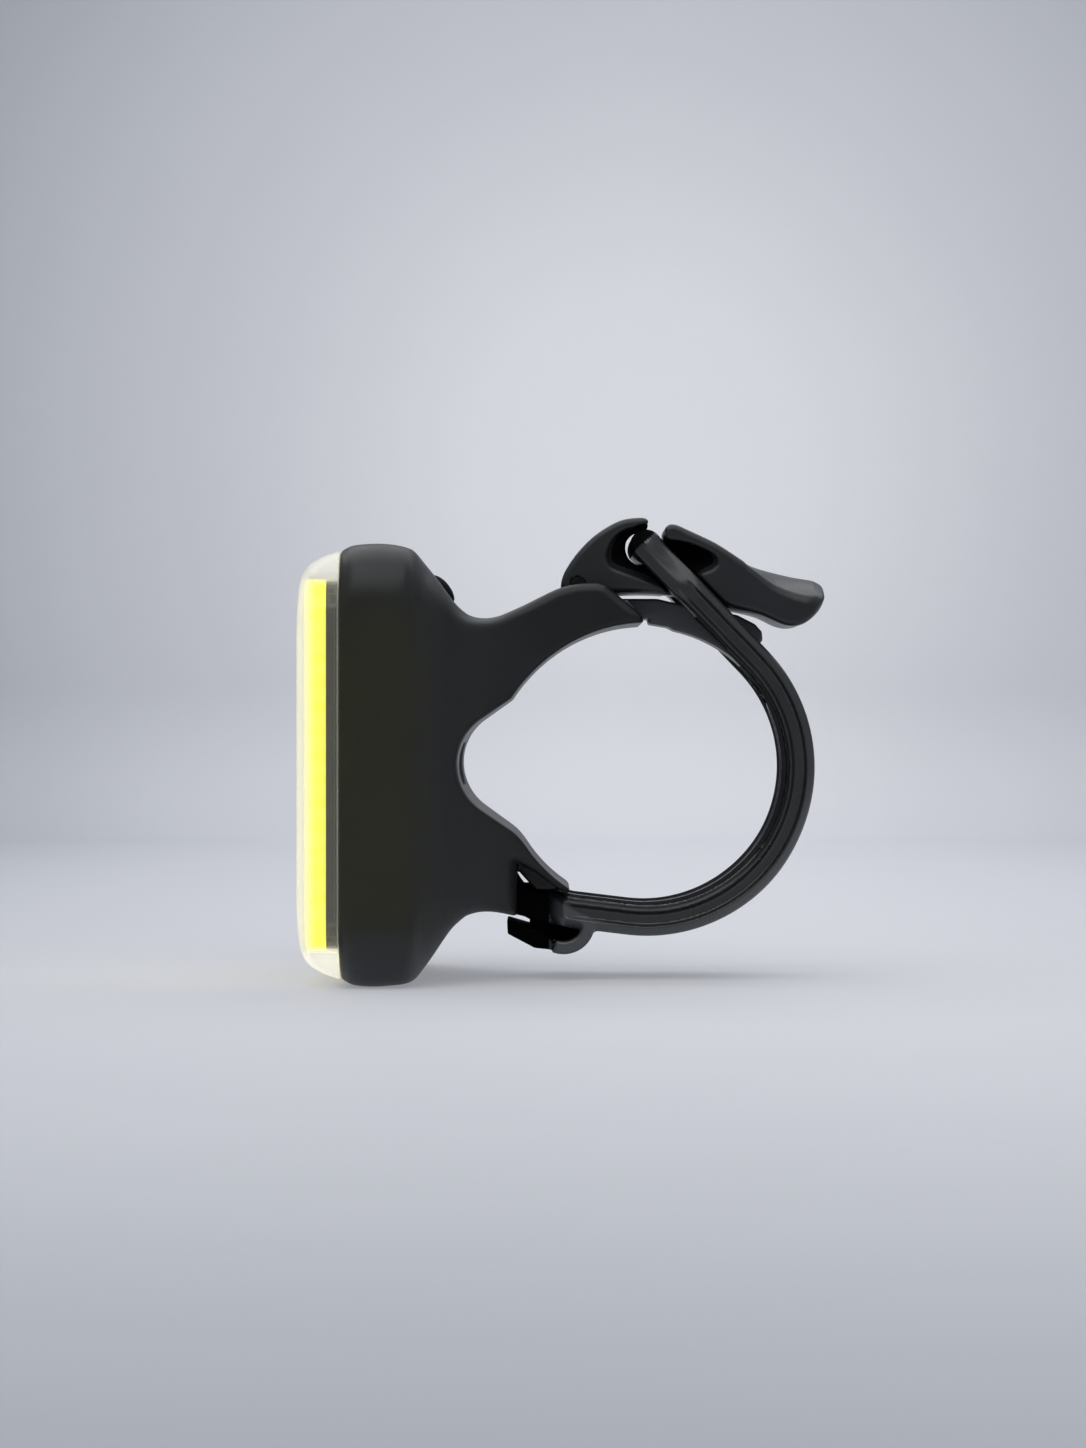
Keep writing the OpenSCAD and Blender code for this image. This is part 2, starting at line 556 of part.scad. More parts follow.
module cam_lever() color([0.08, 0.085, 0.09]) difference() {
    intersection() {
        side(lever_w) lever_outline();
        // Rounded end of the thumb tab, seen from above
        translate([pivot[0] + lever_u * 25.9 - 30, 0, 0]) linear_extrude(60) rounded(60, lever_w, tab_r);
    }
    // The thumb tab's top falls away to both sides
    for (s = [-1, 1]) translate([pivot[0] + lever_u * 17, s * lever_w / 2, pivot[1] + lever_u * 2.3])
        rotate([-s * 21, 29, 0]) translate([-1, -20, 0]) cube([20, 40, 12]);
    // Hook notch and its mouth
    axle(notch_c, notch_r, 20);
    side(20) translate(pivot) polygon(lever_u * [[7.42, 4], [8.85, 4.4], [8.95, 5.6], [9.1, 8], [7.38, 8]]);
    for (s = [-1, 1]) translate([0, s * (lever_web_w / 2 + 5), 0]) side(10) lever_hollow();
    // Room for the housing's ear, and the pin's bore
    axle(pivot, hub_r + 0.75, ear_w + 0.4);
    side(ear_w + 0.4) translate(pivot) polygon([[-4, -4], [-4, 0], [0, 0], [2.4, -0.6], [2.4, -4]]);
    axle(pivot, pin_d / 2 + run_gap, 20);
}

module lever_pin() color([0.7, 0.7, 0.72]) axle(pivot, pin_d / 2, lever_w + 0.1);

module strap_guide() color([0.1, 0.105, 0.11]) {
    // The tongue follows the bar's circle
    r = bar_r + 0.2;
    side(guide_w) polygon(concat([[-4.9, floor_z], [-4.9, floor_z + 1.75], [-3, floor_z + 2.1], [1.2, floor_z + 2.1],
        [0.32 * r, floor_z + 1.3], [0.66 * r, floor_z + 0.4], [0.787 * r, floor_z - 0.55],
        [0.835 * r, floor_z - 1.35], [0.842 * r, floor_z - 2.2]],
        arc([0, 0], r, 46, 78, 10), [[0.16 * r, bar_r + 0.25], [0.3, bar_r + 0.6], [0.3, floor_z]]));
    side(2 * cheek_in - 0.1) polygon([[-4.9, floor_z], [-4.9, floor_z + 1.6], [-2, floor_z + 1.9],
        [-1.2, floor_z + 1], [-1.2, floor_z]]);
    axle([-2.6, floor_z + 0.9], 0.55, 2 * cheek_in + 0.6);
}

housing();
lens();
lens_gasket();
light_panel();
led_board();
heat_spreader();
board_screws();
thermal_pad();
main_board();
led_pins();
battery();
battery_foam();
battery_leads();
usb_shell();
usb_insert();
port_bung();
driver_inductor();
control_chip();
charge_chip();
board_capacitors();
switch_bracket();
tact_switch();
switch_plunger();
power_button();
strap();
cam_lever();
lever_pin();
strap_guide();
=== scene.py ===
import math

import bpy
import numpy as np
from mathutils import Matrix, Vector


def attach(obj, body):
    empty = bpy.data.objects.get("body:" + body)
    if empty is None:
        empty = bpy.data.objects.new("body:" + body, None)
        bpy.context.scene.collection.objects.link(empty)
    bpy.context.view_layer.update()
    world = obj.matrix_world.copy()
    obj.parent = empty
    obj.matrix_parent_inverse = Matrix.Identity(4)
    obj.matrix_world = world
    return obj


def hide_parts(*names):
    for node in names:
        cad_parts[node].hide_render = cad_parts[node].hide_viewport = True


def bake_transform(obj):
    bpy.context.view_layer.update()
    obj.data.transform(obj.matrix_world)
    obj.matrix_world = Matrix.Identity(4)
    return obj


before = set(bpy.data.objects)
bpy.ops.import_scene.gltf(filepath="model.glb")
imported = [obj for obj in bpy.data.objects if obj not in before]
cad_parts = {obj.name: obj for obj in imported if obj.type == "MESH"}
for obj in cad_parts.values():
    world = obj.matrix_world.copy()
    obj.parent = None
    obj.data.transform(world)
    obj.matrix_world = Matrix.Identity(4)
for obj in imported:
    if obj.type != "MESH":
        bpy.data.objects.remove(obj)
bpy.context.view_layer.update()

# Lengths are in millimetres up to the mesh, which is in metres. X rearward, Y along the bar, Z up.
MM = 0.001
TINY = 1e-12
BAR_R = 14.3
STRAP_T = 3.0
STRAP_MID = BAR_R + STRAP_T / 2
# Housing: middle height, the V seat, the seam with the lens, the lens front and the hollow
MID_Z = 0.3
BODY_HALF = 22.3
SEAT_X = -19.35
SEAT_R = 5.6
SEAT_SLOPE = math.radians(35)
JOINT_X = -31.05
FRONT_X = -35.55
CAVITY_HALF = 19.3
CAVITY_BACK = -21.2
CAVITY_TAPER = 7.55
SCREWS = [(16.2, MID_Z + 15.4), (16.2, MID_Z)]
BOSS_R, BOSS_TIP_R, SCREW_HOLE_R = 2.2, 1.5, 0.82
GROUND = MID_Z - BODY_HALF
# The lever's pin, the strap's crossbar, the lever's notch for it, and the bar that the strap clips on
PIVOT = (-7.1, 18.9)
CLEVIS_R, EAR_R, PIN_HOLE_R, LEVER_BORE_R = 3.35, 1.65, 0.77, 0.8
HOOK = (-0.05, 22.9)
CROSSBAR_R = 1.6
NOTCH = (-0.23, 22.8)
NOTCH_R = 1.9
ANCHOR = (-15.8, -12.25)
ANCHOR_R, EYE_R, NECK_R, LOW_CLEVIS_R = 1.1, 1.15, 2.45, 2.8
# The upper arm's floor between its cheeks, the pin of the tongue there, and the button on the rear slope
FLOOR_Z = 15.4
GUIDE_PIN = (-2.6, FLOOR_Z + 0.9)
BUTTON_AT = (SEAT_X - 1.7, MID_Z + 18.45)
BUTTON_TILT = math.radians(39)
# Length and width of the round-ended openings, and of what fills them
BUTTON_HOLE, BUTTON_POCKET = (8.7, 3.7), (11.6, 6.6)
BUTTON_CAP, BUTTON_FLANGE = (8.4, 3.4), (11.2, 6.2)
PORT_HOLE, PORT_POCKET = (9.24, 3.46), (14.9, 4.5)
BUNG_FACE, BUNG_PLUG = (14.6, 4.2), (8.1, 2.32)
# Half widths along the bar
CHEEK_IN = 6.7
LOW_CHEEK_IN = 6.2
EAR_HALF = 2.5
STRAP_HALF = 8.5
SLOT_HALF = 3.7
CROSSBAR_HALF = 6.2
NECK_HALF = 6.0
LEVER_HALF = 6.5
WEB_HALF = 3.2
GUIDE_HALF = 3.1


# Distance fields. Each takes arrays that broadcast and gives a distance that is negative inside.

def catmull(points, n=6):
    """A smooth curve through the points."""
    p = np.asarray(points, float)
    out = []
    for i in range(len(p) - 1):
        p0, p1, p2, p3 = p[max(i - 1, 0)], p[i], p[i + 1], p[min(i + 2, len(p) - 1)]
        for k in range(n):
            t = k / n
            out.append(0.5 * (2 * p1 + (p2 - p0) * t + (2 * p0 - 5 * p1 + 4 * p2 - p3) * t * t
                              + (3 * p1 - p0 - 3 * p2 + p3) * t ** 3))
    out.append(p[-1])
    return np.array(out)


def arc(c, r, a0, a1, n=16):
    """Points on a circle, from one angle in degrees to another."""
    a = np.radians(np.linspace(a0, a1, n))
    return np.stack([c[0] + r * np.cos(a), c[1] + r * np.sin(a)], 1)


def around(c, points):
    """Points that are given from c."""
    return np.array(points, float) + np.array(c)


def evened(values, reach):
    """Running mean over reach values to either side."""
    n = 2 * reach + 1
    return np.convolve(np.pad(values, reach, "edge"), np.ones(n) / n, "valid")


def segments(points, closed):
    p = np.asarray(points, float)
    return zip(p, np.roll(p, -1, 0)) if closed else zip(p[:-1], p[1:])


def to_segment(a, e, x, z):
    """Squared distance to the segment that runs from a along e."""
    t = np.clip(((x - a[0]) * e[0] + (z - a[1]) * e[1]) / max(e @ e, TINY), 0, 1)
    return (x - a[0] - e[0] * t) ** 2 + (z - a[1] - e[1] * t) ** 2


def path_side(points, x, z):
    """Signed distance to an open line, positive on its left."""
    best, side = None, None
    for a, b in segments(points, False):
        e = b - a
        d = to_segment(a, e, x, z)
        left = np.where(e[0] * (z - a[1]) - e[1] * (x - a[0]) >= 0, 1.0, -1.0)
        side = left if best is None else np.where(d < best, left, side)
        best = d if best is None else np.minimum(best, d)
    return side * np.sqrt(best)


def poly(points, x, z):
    """Signed distance to a closed outline."""
    best, inside = None, None
    for a, b in segments(points, True):
        e = b - a
        if e @ e < TINY:
            continue
        d = to_segment(a, e, x, z)
        best = d if best is None else np.minimum(best, d)
        if a[1] != b[1]:
            cross = (a[1] > z) != (b[1] > z)
            hit = cross & (x < (b[0] - a[0]) * (z - a[1]) / (b[1] - a[1]) + a[0])
            inside = hit if inside is None else inside ^ hit
    return np.where(inside, -1, 1) * np.sqrt(best)


def circle(c, r, x, z):
    return np.hypot(x - c[0], z - c[1]) - r


def stadium(u, v, l, w):
    """A slot of length l along u and width w, with round ends."""
    return np.hypot(np.maximum(np.abs(u) - (l - w) / 2, 0), v) - w / 2


def smin(a, b, k):
    """Either, with a fillet of about k between them."""
    h = np.clip(0.5 + 0.5 * (b - a) / k, 0, 1)
    return b * (1 - h) + a * h - k * h * (1 - h)


def smax(a, b, k):
    """Both, with the edge between them softened by about k."""
    return -smin(-a, -b, k)


def meet(a, b, r):
    """Both, with the edge between them rounded to radius r."""
    u, v = a + r, b + r
    return np.minimum(np.maximum(u, v), 0) + np.hypot(np.maximum(u, 0), np.maximum(v, 0)) - r


def rounded_box(y, z, hy, hz, r):
    return meet(np.abs(y) - hy, np.abs(z) - hz, r)


def step(t, a, b):
    """From 0 at a to 1 at b, smoothly."""
    t = np.clip((t - a) / (b - a), 0, 1)
    return t * t * (3 - 2 * t)


# From a field to a mesh: one vertex in each cell that the surface crosses, moved onto the surface.

def net(field, lo, hi, cell):
    """Vertices and quads of the field's surface within a box."""
    n = [int(math.ceil((h - l) / cell)) + 1 for l, h in zip(lo, hi)]
    ax = [np.linspace(l, l + cell * (m - 1), m) for l, m in zip(lo, n)]
    f = field(ax[0][:, None, None], ax[1][None, :, None], ax[2][None, None, :])
    f = np.ascontiguousarray(np.broadcast_to(f, n)).astype(np.float32)
    neg = f < 0
    corners = [(i, j, k) for i in (0, 1) for j in (0, 1) for k in (0, 1)]

    def cut(a, c):
        return a[c[0]:n[0] - 1 + c[0], c[1]:n[1] - 1 + c[1], c[2]:n[2] - 1 + c[2]]

    count = sum(cut(neg, c).astype(np.int8) for c in corners)
    cells = np.argwhere((count > 0) & (count < 8))
    number = np.full([m - 1 for m in n], -1, np.int64)
    number[tuple(cells.T)] = np.arange(len(cells))
    total, hits = np.zeros((len(cells), 3)), np.zeros(len(cells))
    for axis in range(3):
        for c in corners:
            if c[axis]:
                continue
            d = list(c)
            d[axis] = 1
            fa = f[tuple((cells + c).T)]
            fb = f[tuple((cells + d).T)]
            on = (fa < 0) != (fb < 0)
            t = np.where(on, fa / np.where(on, fa - fb, 1), 0)
            p = np.tile(np.array(c, float), (len(cells), 1))
            p[:, axis] = t
            total[on] += p[on]
            hits[on] += 1
    verts = (cells + total / hits[:, None]) * cell + np.array(lo)
    faces = []
    for axis in range(3):
        u, v = [(1, 2), (2, 0), (0, 1)][axis]
        a, b = [slice(None)] * 3, [slice(None)] * 3
        a[axis], b[axis] = slice(0, n[axis] - 1), slice(1, n[axis])
        na, nb = neg[tuple(a)], neg[tuple(b)]
        e = np.argwhere(na != nb)
        e = e[(e[:, u] > 0) & (e[:, v] > 0) & (e[:, u] < n[u] - 1) & (e[:, v] < n[v] - 1)]
        quad = []
        for du, dv in ((-1, -1), (0, -1), (0, 0), (-1, 0)):
            q = e.copy()
            q[:, u] += du
            q[:, v] += dv
            quad.append(number[tuple(q.T)])
        quad = np.stack(quad, 1)
        flip = ~na[tuple(e.T)]
        quad[flip] = quad[flip][:, ::-1]
        faces.append(quad)
    return verts, np.concatenate(faces)


def slope(field, p, h=0.02):
    """The field's gradient at points, from differences over h to either side."""
    g = np.empty_like(p)
    for i in range(3):
        q, r = p.copy(), p.copy()
        q[:, i] += h
        r[:, i] -= h
        g[:, i] = (field(*q.T) - field(*r.T)) / (2 * h)
    return g


def settle(field, p, most, rounds=5):
    """Moves points onto the surface of the field, by no more than most in a round."""
    for _ in range(rounds):
        g = slope(field, p)
        d = field(*p.T) / np.maximum((g ** 2).sum(1), 0.05)
        p = p - np.clip(d, -most, most)[:, None] * g
    return p


def solid(name, field, lo, hi, cell, keep):
    """A mesh object of the field's surface, with normals taken from the field."""
    most = 0.5 * cell
    verts, faces = net(field, lo, hi, cell)
    verts = settle(field, verts, most)
    mesh = bpy.data.meshes.new(name)
    mesh.from_pydata((verts * MM).tolist(), [], faces.tolist())
    mesh.validate()
    obj = bpy.data.objects.new(name, mesh)
    bpy.context.scene.collection.objects.link(obj)
    if keep < 1:
        mod = obj.modifiers.new("thin", "DECIMATE")
        mod.ratio = keep
        mod.use_symmetry = True
        mod.symmetry_axis = "Y"
        done = bpy.data.meshes.new_from_object(obj.evaluated_get(bpy.context.evaluated_depsgraph_get()))
        obj.modifiers.clear()
        obj.data = done
        bpy.data.meshes.remove(mesh)
        mesh = done
        mesh.name = name
    p = np.empty(len(mesh.vertices) * 3)
    mesh.vertices.foreach_get("co", p)
    p = settle(field, p.reshape(-1, 3) / MM, most, 2)
    mesh.vertices.foreach_set("co", (p * MM).ravel())
    mesh.update()
    mesh.polygons.foreach_set("use_smooth", np.ones(len(mesh.polygons), bool))
    g = slope(field, p, 0.05)
    g /= np.maximum(np.linalg.norm(g, axis=1, keepdims=True), 1e-9)
    mesh.normals_split_custom_set_from_vertices(g.tolist())
    return obj


# Housing. The side view's outline and the half width along X give the outer form.

TOP = catmull([(-40, 22.0), (-33, 21.4), (-31.05, 21.9), (-29.8, 22.42), (-27.65, 22.6), (-25.95, 22.52),
               (-24.75, 22.28), (-24.05, 22.06), (-23.65, 21.82), (-23.3, 21.45), (-22.45, 20.4),
               (-21.4, 19.1), (-20.3, 17.6), (-19.45, 16.5), (-18.2, 15.5), (-16.8, 15.22), (-15.4, 15.42),
               (-14.3, 15.86), (-12.6, 16.65), (-9.95, 18.0), (-8.5, 18.55), (-6.9, 18.87), (-5.0, 18.95)])
ARM_END = np.array([(-4.2, 18.72), (-3.05, 17.72), (-1.4, 16.36), (-0.7, 15.75), (-0.38, 15.2), (-0.3, 14.9),
                    (0.05, 14.8), (0.05, 8)])
FINGER = catmull([(-7.9, -13.05), (-9.6, -12.15), (-11.4, -10.75), (-13.4, -9.7)])
LOW = catmull([(-13.45, -15.25), (-15.4, -14.8), (-16.95, -14.69), (-18.3, -14.96), (-19.1, -15.5),
               (-20.0, -16.35), (-20.9, -17.6), (-22.05, -19.3), (-23.3, -20.95), (-23.75, -21.35),
               (-24.2, -21.58), (-25.3, -21.82), (-27.65, -22.0), (-29.8, -21.84), (-31.05, -21.3),
               (-33, -20.8), (-40, -21.4)])
SIDE = np.concatenate([TOP, ARM_END, [(-7.9, 0)], FINGER, LOW])
WIDE_X, WIDE = catmull([(-40, 21.5), (-33, 21.1), (-31.05, 21.6), (-29.8, 22.1), (-27.65, 22.3),
                        (-25.95, 22.22), (-24.75, 21.98), (-24.05, 21.74), (-23.5, 21.4), (-22.6, 20.5),
                        (-21.4, 19.2), (-20.2, 17.75), (-19, 16.2), (-17.6, 14.7), (-16.2, 13.4),
                        (-14.8, 12.2), (-13.3, 11.15), (-11.5, 10.25), (-9.8, 9.75), (-7.3, 9.5),
                        (-4, 9.5), (4, 9.5)]).T
SOFT_X = np.linspace(-40, 4, 221)
SOFT_W = evened(np.interp(SOFT_X, WIDE_X, WIDE), 14)
# Along X: how much the flanks slope, the radius of the long edges, and where the box ends at the saddle
FLANK = [-24.5, -22.5, -19, -15, -11, -8], [1, 0.68, 0.66, 0.75, 0.95, 1]
EDGE_R = [-26, -23, -20.5, -18, -14, -8], [6.0, 4.2, 2.4, 1.6, 1.2, 1.0]
SADDLE = -20.5, -17.5


def lean(curve):
    """Cosine of a curve's slope, evened out along X."""
    x = np.linspace(-40, -14, 521)
    return x, evened(1 / np.hypot(1, np.gradient(np.interp(x, *curve.T), x)), 12)


TOP_LEAN, LOW_LEAN = lean(TOP), lean(LOW[::-1])


def seat_space(x, z):
    """The V seat, the bar and the upper arm's hollow."""
    c = (SEAT_X + SEAT_R, MID_Z)
    sine, cosine = math.sin(SEAT_SLOPE), math.cos(SEAT_SLOPE)
    nx, nz, dx, dz = -sine * SEAT_R, cosine * SEAT_R, 8 * cosine, 8 * sine
    flanks = poly([(c[0] + nx, c[1] + nz), (c[0] + nx + dx, c[1] + nz + dz),
                   (c[0] + nx + dx, c[1] - nz - dz), (c[0] + nx, c[1] - nz)], x, z)
    v = np.minimum(circle(c, SEAT_R, x, z), flanks)
    bar = circle((0, 0), BAR_R + 0.5, x, z)
    # For a bar of 31.8 mm
    big_r = 15.9
    hollow = np.maximum(circle((-0.5, BAR_R + 0.1 - big_r), big_r, x, z), 2 - z)
    return smin(np.minimum(v, hollow), bar, 0.6)


def on_button(x, z):
    """Distance along the slope and out of it, from the middle of the button's opening."""
    c, s = math.cos(BUTTON_TILT), math.sin(BUTTON_TILT)
    dx, dz = x - BUTTON_AT[0], z - BUTTON_AT[1]
    return -dx * s + dz * c, dx * c + dz * s


def housing_form(x, ay, z):
    """The outer form, with the lens side cut off flat."""
    # Up to the saddle the depth below the outline is taken straight down, so that its corners don't mitre
    deep = np.maximum((z - np.interp(x, *TOP.T)) * np.interp(x, *TOP_LEAN),
                      (np.interp(x, *LOW[::-1].T) - z) * np.interp(x, *LOW_LEAN))
    side = deep + (poly(SIDE, x, z) - deep) * step(x, *SADDLE)
    sharp = np.interp(x, WIDE_X, WIDE)
    soft = np.interp(x, SOFT_X, SOFT_W)
    w = soft + (sharp - soft) * step(np.abs(z - MID_Z), 9, 17)
    # The upper arm's side steps back a little below a slanting line
    below = (x + 14.6) * 0.369 - (z - 10.5) * 0.93
    w = w - 0.35 * step(below, -0.3, 2.2) * step(x, -17.5, -13) * step(z, 1, 5)
    f = meet(side, (ay - w) * np.interp(x, *FLANK), np.interp(x, *EDGE_R))
    return smax(f, JOINT_X - x, 0.35)


def hollowed(f, x, y, z):
    """The form with its hollow for the light unit and the electronics, and with the screws' bosses in it."""
    ay = np.abs(y)
    t = np.clip((x - (JOINT_X + CAVITY_TAPER)) / (CAVITY_BACK - JOINT_X - CAVITY_TAPER), 0, 1)
    cavity = rounded_box(y, z - MID_Z, CAVITY_HALF - 6.3 * t, CAVITY_HALF - 5.8 * t, 4.5)
    cavity = meet(cavity * 0.8, x - CAVITY_BACK, 0.5)
    hollow = smax(f, -cavity, 0.3)
    tip_x, rib_x = -30.4, -28.8
    for sy, sz in SCREWS:
        far = np.hypot(ay - sy, z - sz)
        boss = np.maximum(far - np.where(x < rib_x, BOSS_TIP_R, BOSS_R), tip_x - x)
        boss = np.minimum(boss, np.maximum(np.maximum(np.abs(z - sz) - 1, sy - ay), rib_x - x))
        boss = np.maximum(np.maximum(boss, f + 0.3), np.maximum(ay - 19.6, x + 20.6))
        hollow = np.minimum(hollow, boss)
        hollow = np.maximum(hollow, -np.maximum(far - SCREW_HOLE_R, x + 25.0))
    # Groove of the lens gasket
    ring = CAVITY_HALF + 0.95
    groove = np.abs(rounded_box(y, z - MID_Z, ring, ring, 5.1)) - 0.42
    return np.maximum(hollow, -np.maximum(groove, x - JOINT_X - 0.8))


def upper_clevis(f, x, ay, z):
    """Room between the upper cheeks, around the ear that holds the lever's pin, and the holes of two pins."""
    back = PIVOT[0]
    clevis = np.minimum(circle(PIVOT, CLEVIS_R, x, z),
                        poly([(back, 31), PIVOT, (back, FLOOR_Z), (2, FLOOR_Z), (2, 31)], x, z))
    clevis = meet(clevis, ay - CHEEK_IN, 0.25)
    ear = np.minimum(circle(PIVOT, EAR_R, x, z),
                     poly(around(PIVOT, [(-1.2, -1.1), (1.2, -1.1), (1.5, -5), (-1.9, -5)]), x, z))
    ear = meet(ear, ay - EAR_HALF, 0.3)
    f = smax(f, -np.maximum(clevis, -ear), 0.35)
    f = np.maximum(f, -np.maximum(circle(PIVOT, PIN_HOLE_R, x, z), ay - CHEEK_IN))
    return np.maximum(f, -np.maximum(circle(GUIDE_PIN, 0.65, x, z), ay - CHEEK_IN - 0.45))


def lower_clevis(f, x, ay, z):
    """Room between the lower cheeks, around the bar that the strap clips on, and the finger behind it."""
    outline = around(ANCHOR, [(-LOW_CLEVIS_R, 0), (0, LOW_CLEVIS_R), (4, 2.45), (4, -6), (-2.05, -6)])
    low = np.minimum(circle(ANCHOR, LOW_CLEVIS_R, x, z), poly(outline, x, z))
    low = meet(low, ay - LOW_CHEEK_IN, 0.25)
    plate = poly(np.concatenate([arc((0, 0), BAR_R + 2.8, -136, -150), [(-14, -5), (-8, -8)]]), x, z)
    f = smax(f, -np.maximum(low, -np.minimum(circle(ANCHOR, ANCHOR_R, x, z), plate)), 0.3)
    # Thicker middle of the finger, between the cheeks
    thick = poly(np.concatenate([arc((0, 0), BAR_R + 2.75, -150, -132, 8),
                                 [(-10.6, -12.7), (-9.3, -12.75), (-8.6, -12.4)],
                                 arc((0, 0), BAR_R, -128, -146, 8)]), x, z)
    return smin(f, meet(thick, ay - 6.4, 0.3), 0.3)


def housing_field(x, y, z):
    ay = np.abs(y)
    f = hollowed(housing_form(x, ay, z), x, y, z)
    f = lower_clevis(upper_clevis(f, x, ay, z), x, ay, z)
    f = smax(f, -seat_space(x, z), 0.45)
    # Button opening and port
    u, v = on_button(x, z)
    hole = np.maximum(stadium(y, u, *BUTTON_HOLE), np.abs(v) - 4)
    inner = np.maximum(stadium(y, u, *BUTTON_POCKET), np.abs(v + 2.7) - 1.5)
    f = smax(f, -np.minimum(hole, inner), 0.25)
    port = np.maximum(stadium(y, z - MID_Z, *PORT_HOLE), np.abs(x - SEAT_X) - 4)
    pocket = np.maximum(stadium(y, z - MID_Z, *PORT_POCKET), SEAT_X - 1.15 - x)
    pocket = np.maximum(pocket, x + 14)
    return smax(f, -np.minimum(port, pocket), 0.12)


# Lens: a frosted cap with a pocket for the light panel.

LENS_X, LENS_H = catmull([(-36.2, 9), (-35.58, 15.5), (-35.5, 17.4), (-35.3, 18.55), (-34.9, 19.5),
                          (-34.3, 20.2), (-33.4, 20.75), (-32.4, 21.18), (-31.05, 21.58), (-29, 22.1)]).T
LENS_SKIRT_HALF, LENS_POCKET_HALF, LENS_POCKET_X = 19.2, 18.8, -34.55
LENS_LEAN = [-35.5, -35, -34, -31], [0.25, 0.5, 0.8, 0.95]


def lens_field(x, y, z):
    zc = z - MID_Z
    h = np.interp(x, LENS_X, LENS_H)
    outer = rounded_box(y, zc, h, h, 5.2) * np.interp(x, *LENS_LEAN)
    outer = smax(outer, FRONT_X - x, 0.2)
    outer = smax(outer, x - JOINT_X + 0.01, 0.18)
    skirt = np.maximum(rounded_box(y, zc, LENS_SKIRT_HALF, LENS_SKIRT_HALF, 4.4), np.abs(x - JOINT_X) - 0.53)
    pocket = meet(rounded_box(y, zc, LENS_POCKET_HALF, LENS_POCKET_HALF, 3.8), LENS_POCKET_X - x, 0.4)
    return smax(np.minimum(outer, skirt), -pocket, 0.15)


# Strap: a band round the bar, two legs to the crossbar, a neck with a clip eye and a curled tab.

LEG_ANGLE = math.degrees(math.atan2(HOOK[1], HOOK[0]) - math.acos(STRAP_MID / math.hypot(*HOOK)))
FOOT_ANGLE = -96.6
CENTRE = np.concatenate([[HOOK], arc((0, 0), STRAP_MID, LEG_ANGLE, FOOT_ANGLE, 60),
                         [(-7.6, -15.0), (-12.6, -14.0)]])
TAB_C = (-8.6, -16.0)
TAB_R, TAB_HALF_T = 2.6, 0.65
TAB_WEB = [(-3.5, -0.9), (-3.5, 0), (-0.4, 0.3), (2.2, -0.3), (1.2, -2.1), (-1.2, -2.4)]
TAB_TAIL = [(-1.2, -2.95), (-2.98, -2.77), (-5.77, -1.3), (-5.84, 0.05), (-3.6, -0.6), (-2.2, -1), (-1, -2.2)]
SLIT_ANGLE = math.radians(196)


def strap_band_field(x, y, z, s):
    """The band with its legs and crossbar. s is the distance out of its middle line."""
    ay = np.abs(y)
    far = np.hypot(x - HOOK[0], z - HOOK[1])
    turn = np.arctan2(z, x)
    bottom = step(-z, 6, 13) * 0.1
    # The legs draw in towards the crossbar, most on their upper edge, and the foot draws in to the neck
    drawn = (1 - step(far, 1.2, 8.0)) * (0.55 + 1.5 * step(s, -0.5, 1.5))
    half = STRAP_HALF - drawn - 2.5 * (1 - step(x, -10.7, -8.3))
    # Each side face has a channel between a sloping outer rim and a narrow inner rim
    rims = 0.75 * np.clip((s - 0.66) / 0.86, 0, 1) + 0.5 * np.clip((-1.0 - s) / 0.5, 0, 1)
    channel = 0.5 * (1 - step(s, 0.3, 0.72)) * step(s, -1.08, -0.5) * step(x, -8.8, -7.5)
    band = meet(np.abs(s) - STRAP_T / 2 - bottom, -12.4 - x, 0.6)
    f = meet(band, ay - half + (channel + rims) * step(far, 5, 8), 0.36)
    # Slot between the legs, with a round end
    q = STRAP_MID * (turn - math.radians(28)) - SLOT_HALF
    slot = np.where(q > 0, ay - SLOT_HALF, np.hypot(q, ay) - SLOT_HALF)
    f = smax(f, -slot, 0.5)
    # Fine rib along the inner face
    rib = np.maximum(np.hypot(np.hypot(x, z) - BAR_R - 0.27, y) - 0.45,
                     np.maximum(turn - math.radians(24), -turn - math.radians(88)))
    f = smin(f, rib, 0.12)
    return smin(f, meet(circle(HOOK, CROSSBAR_R, x, z), ay - CROSSBAR_HALF, 0.5), 0.5)


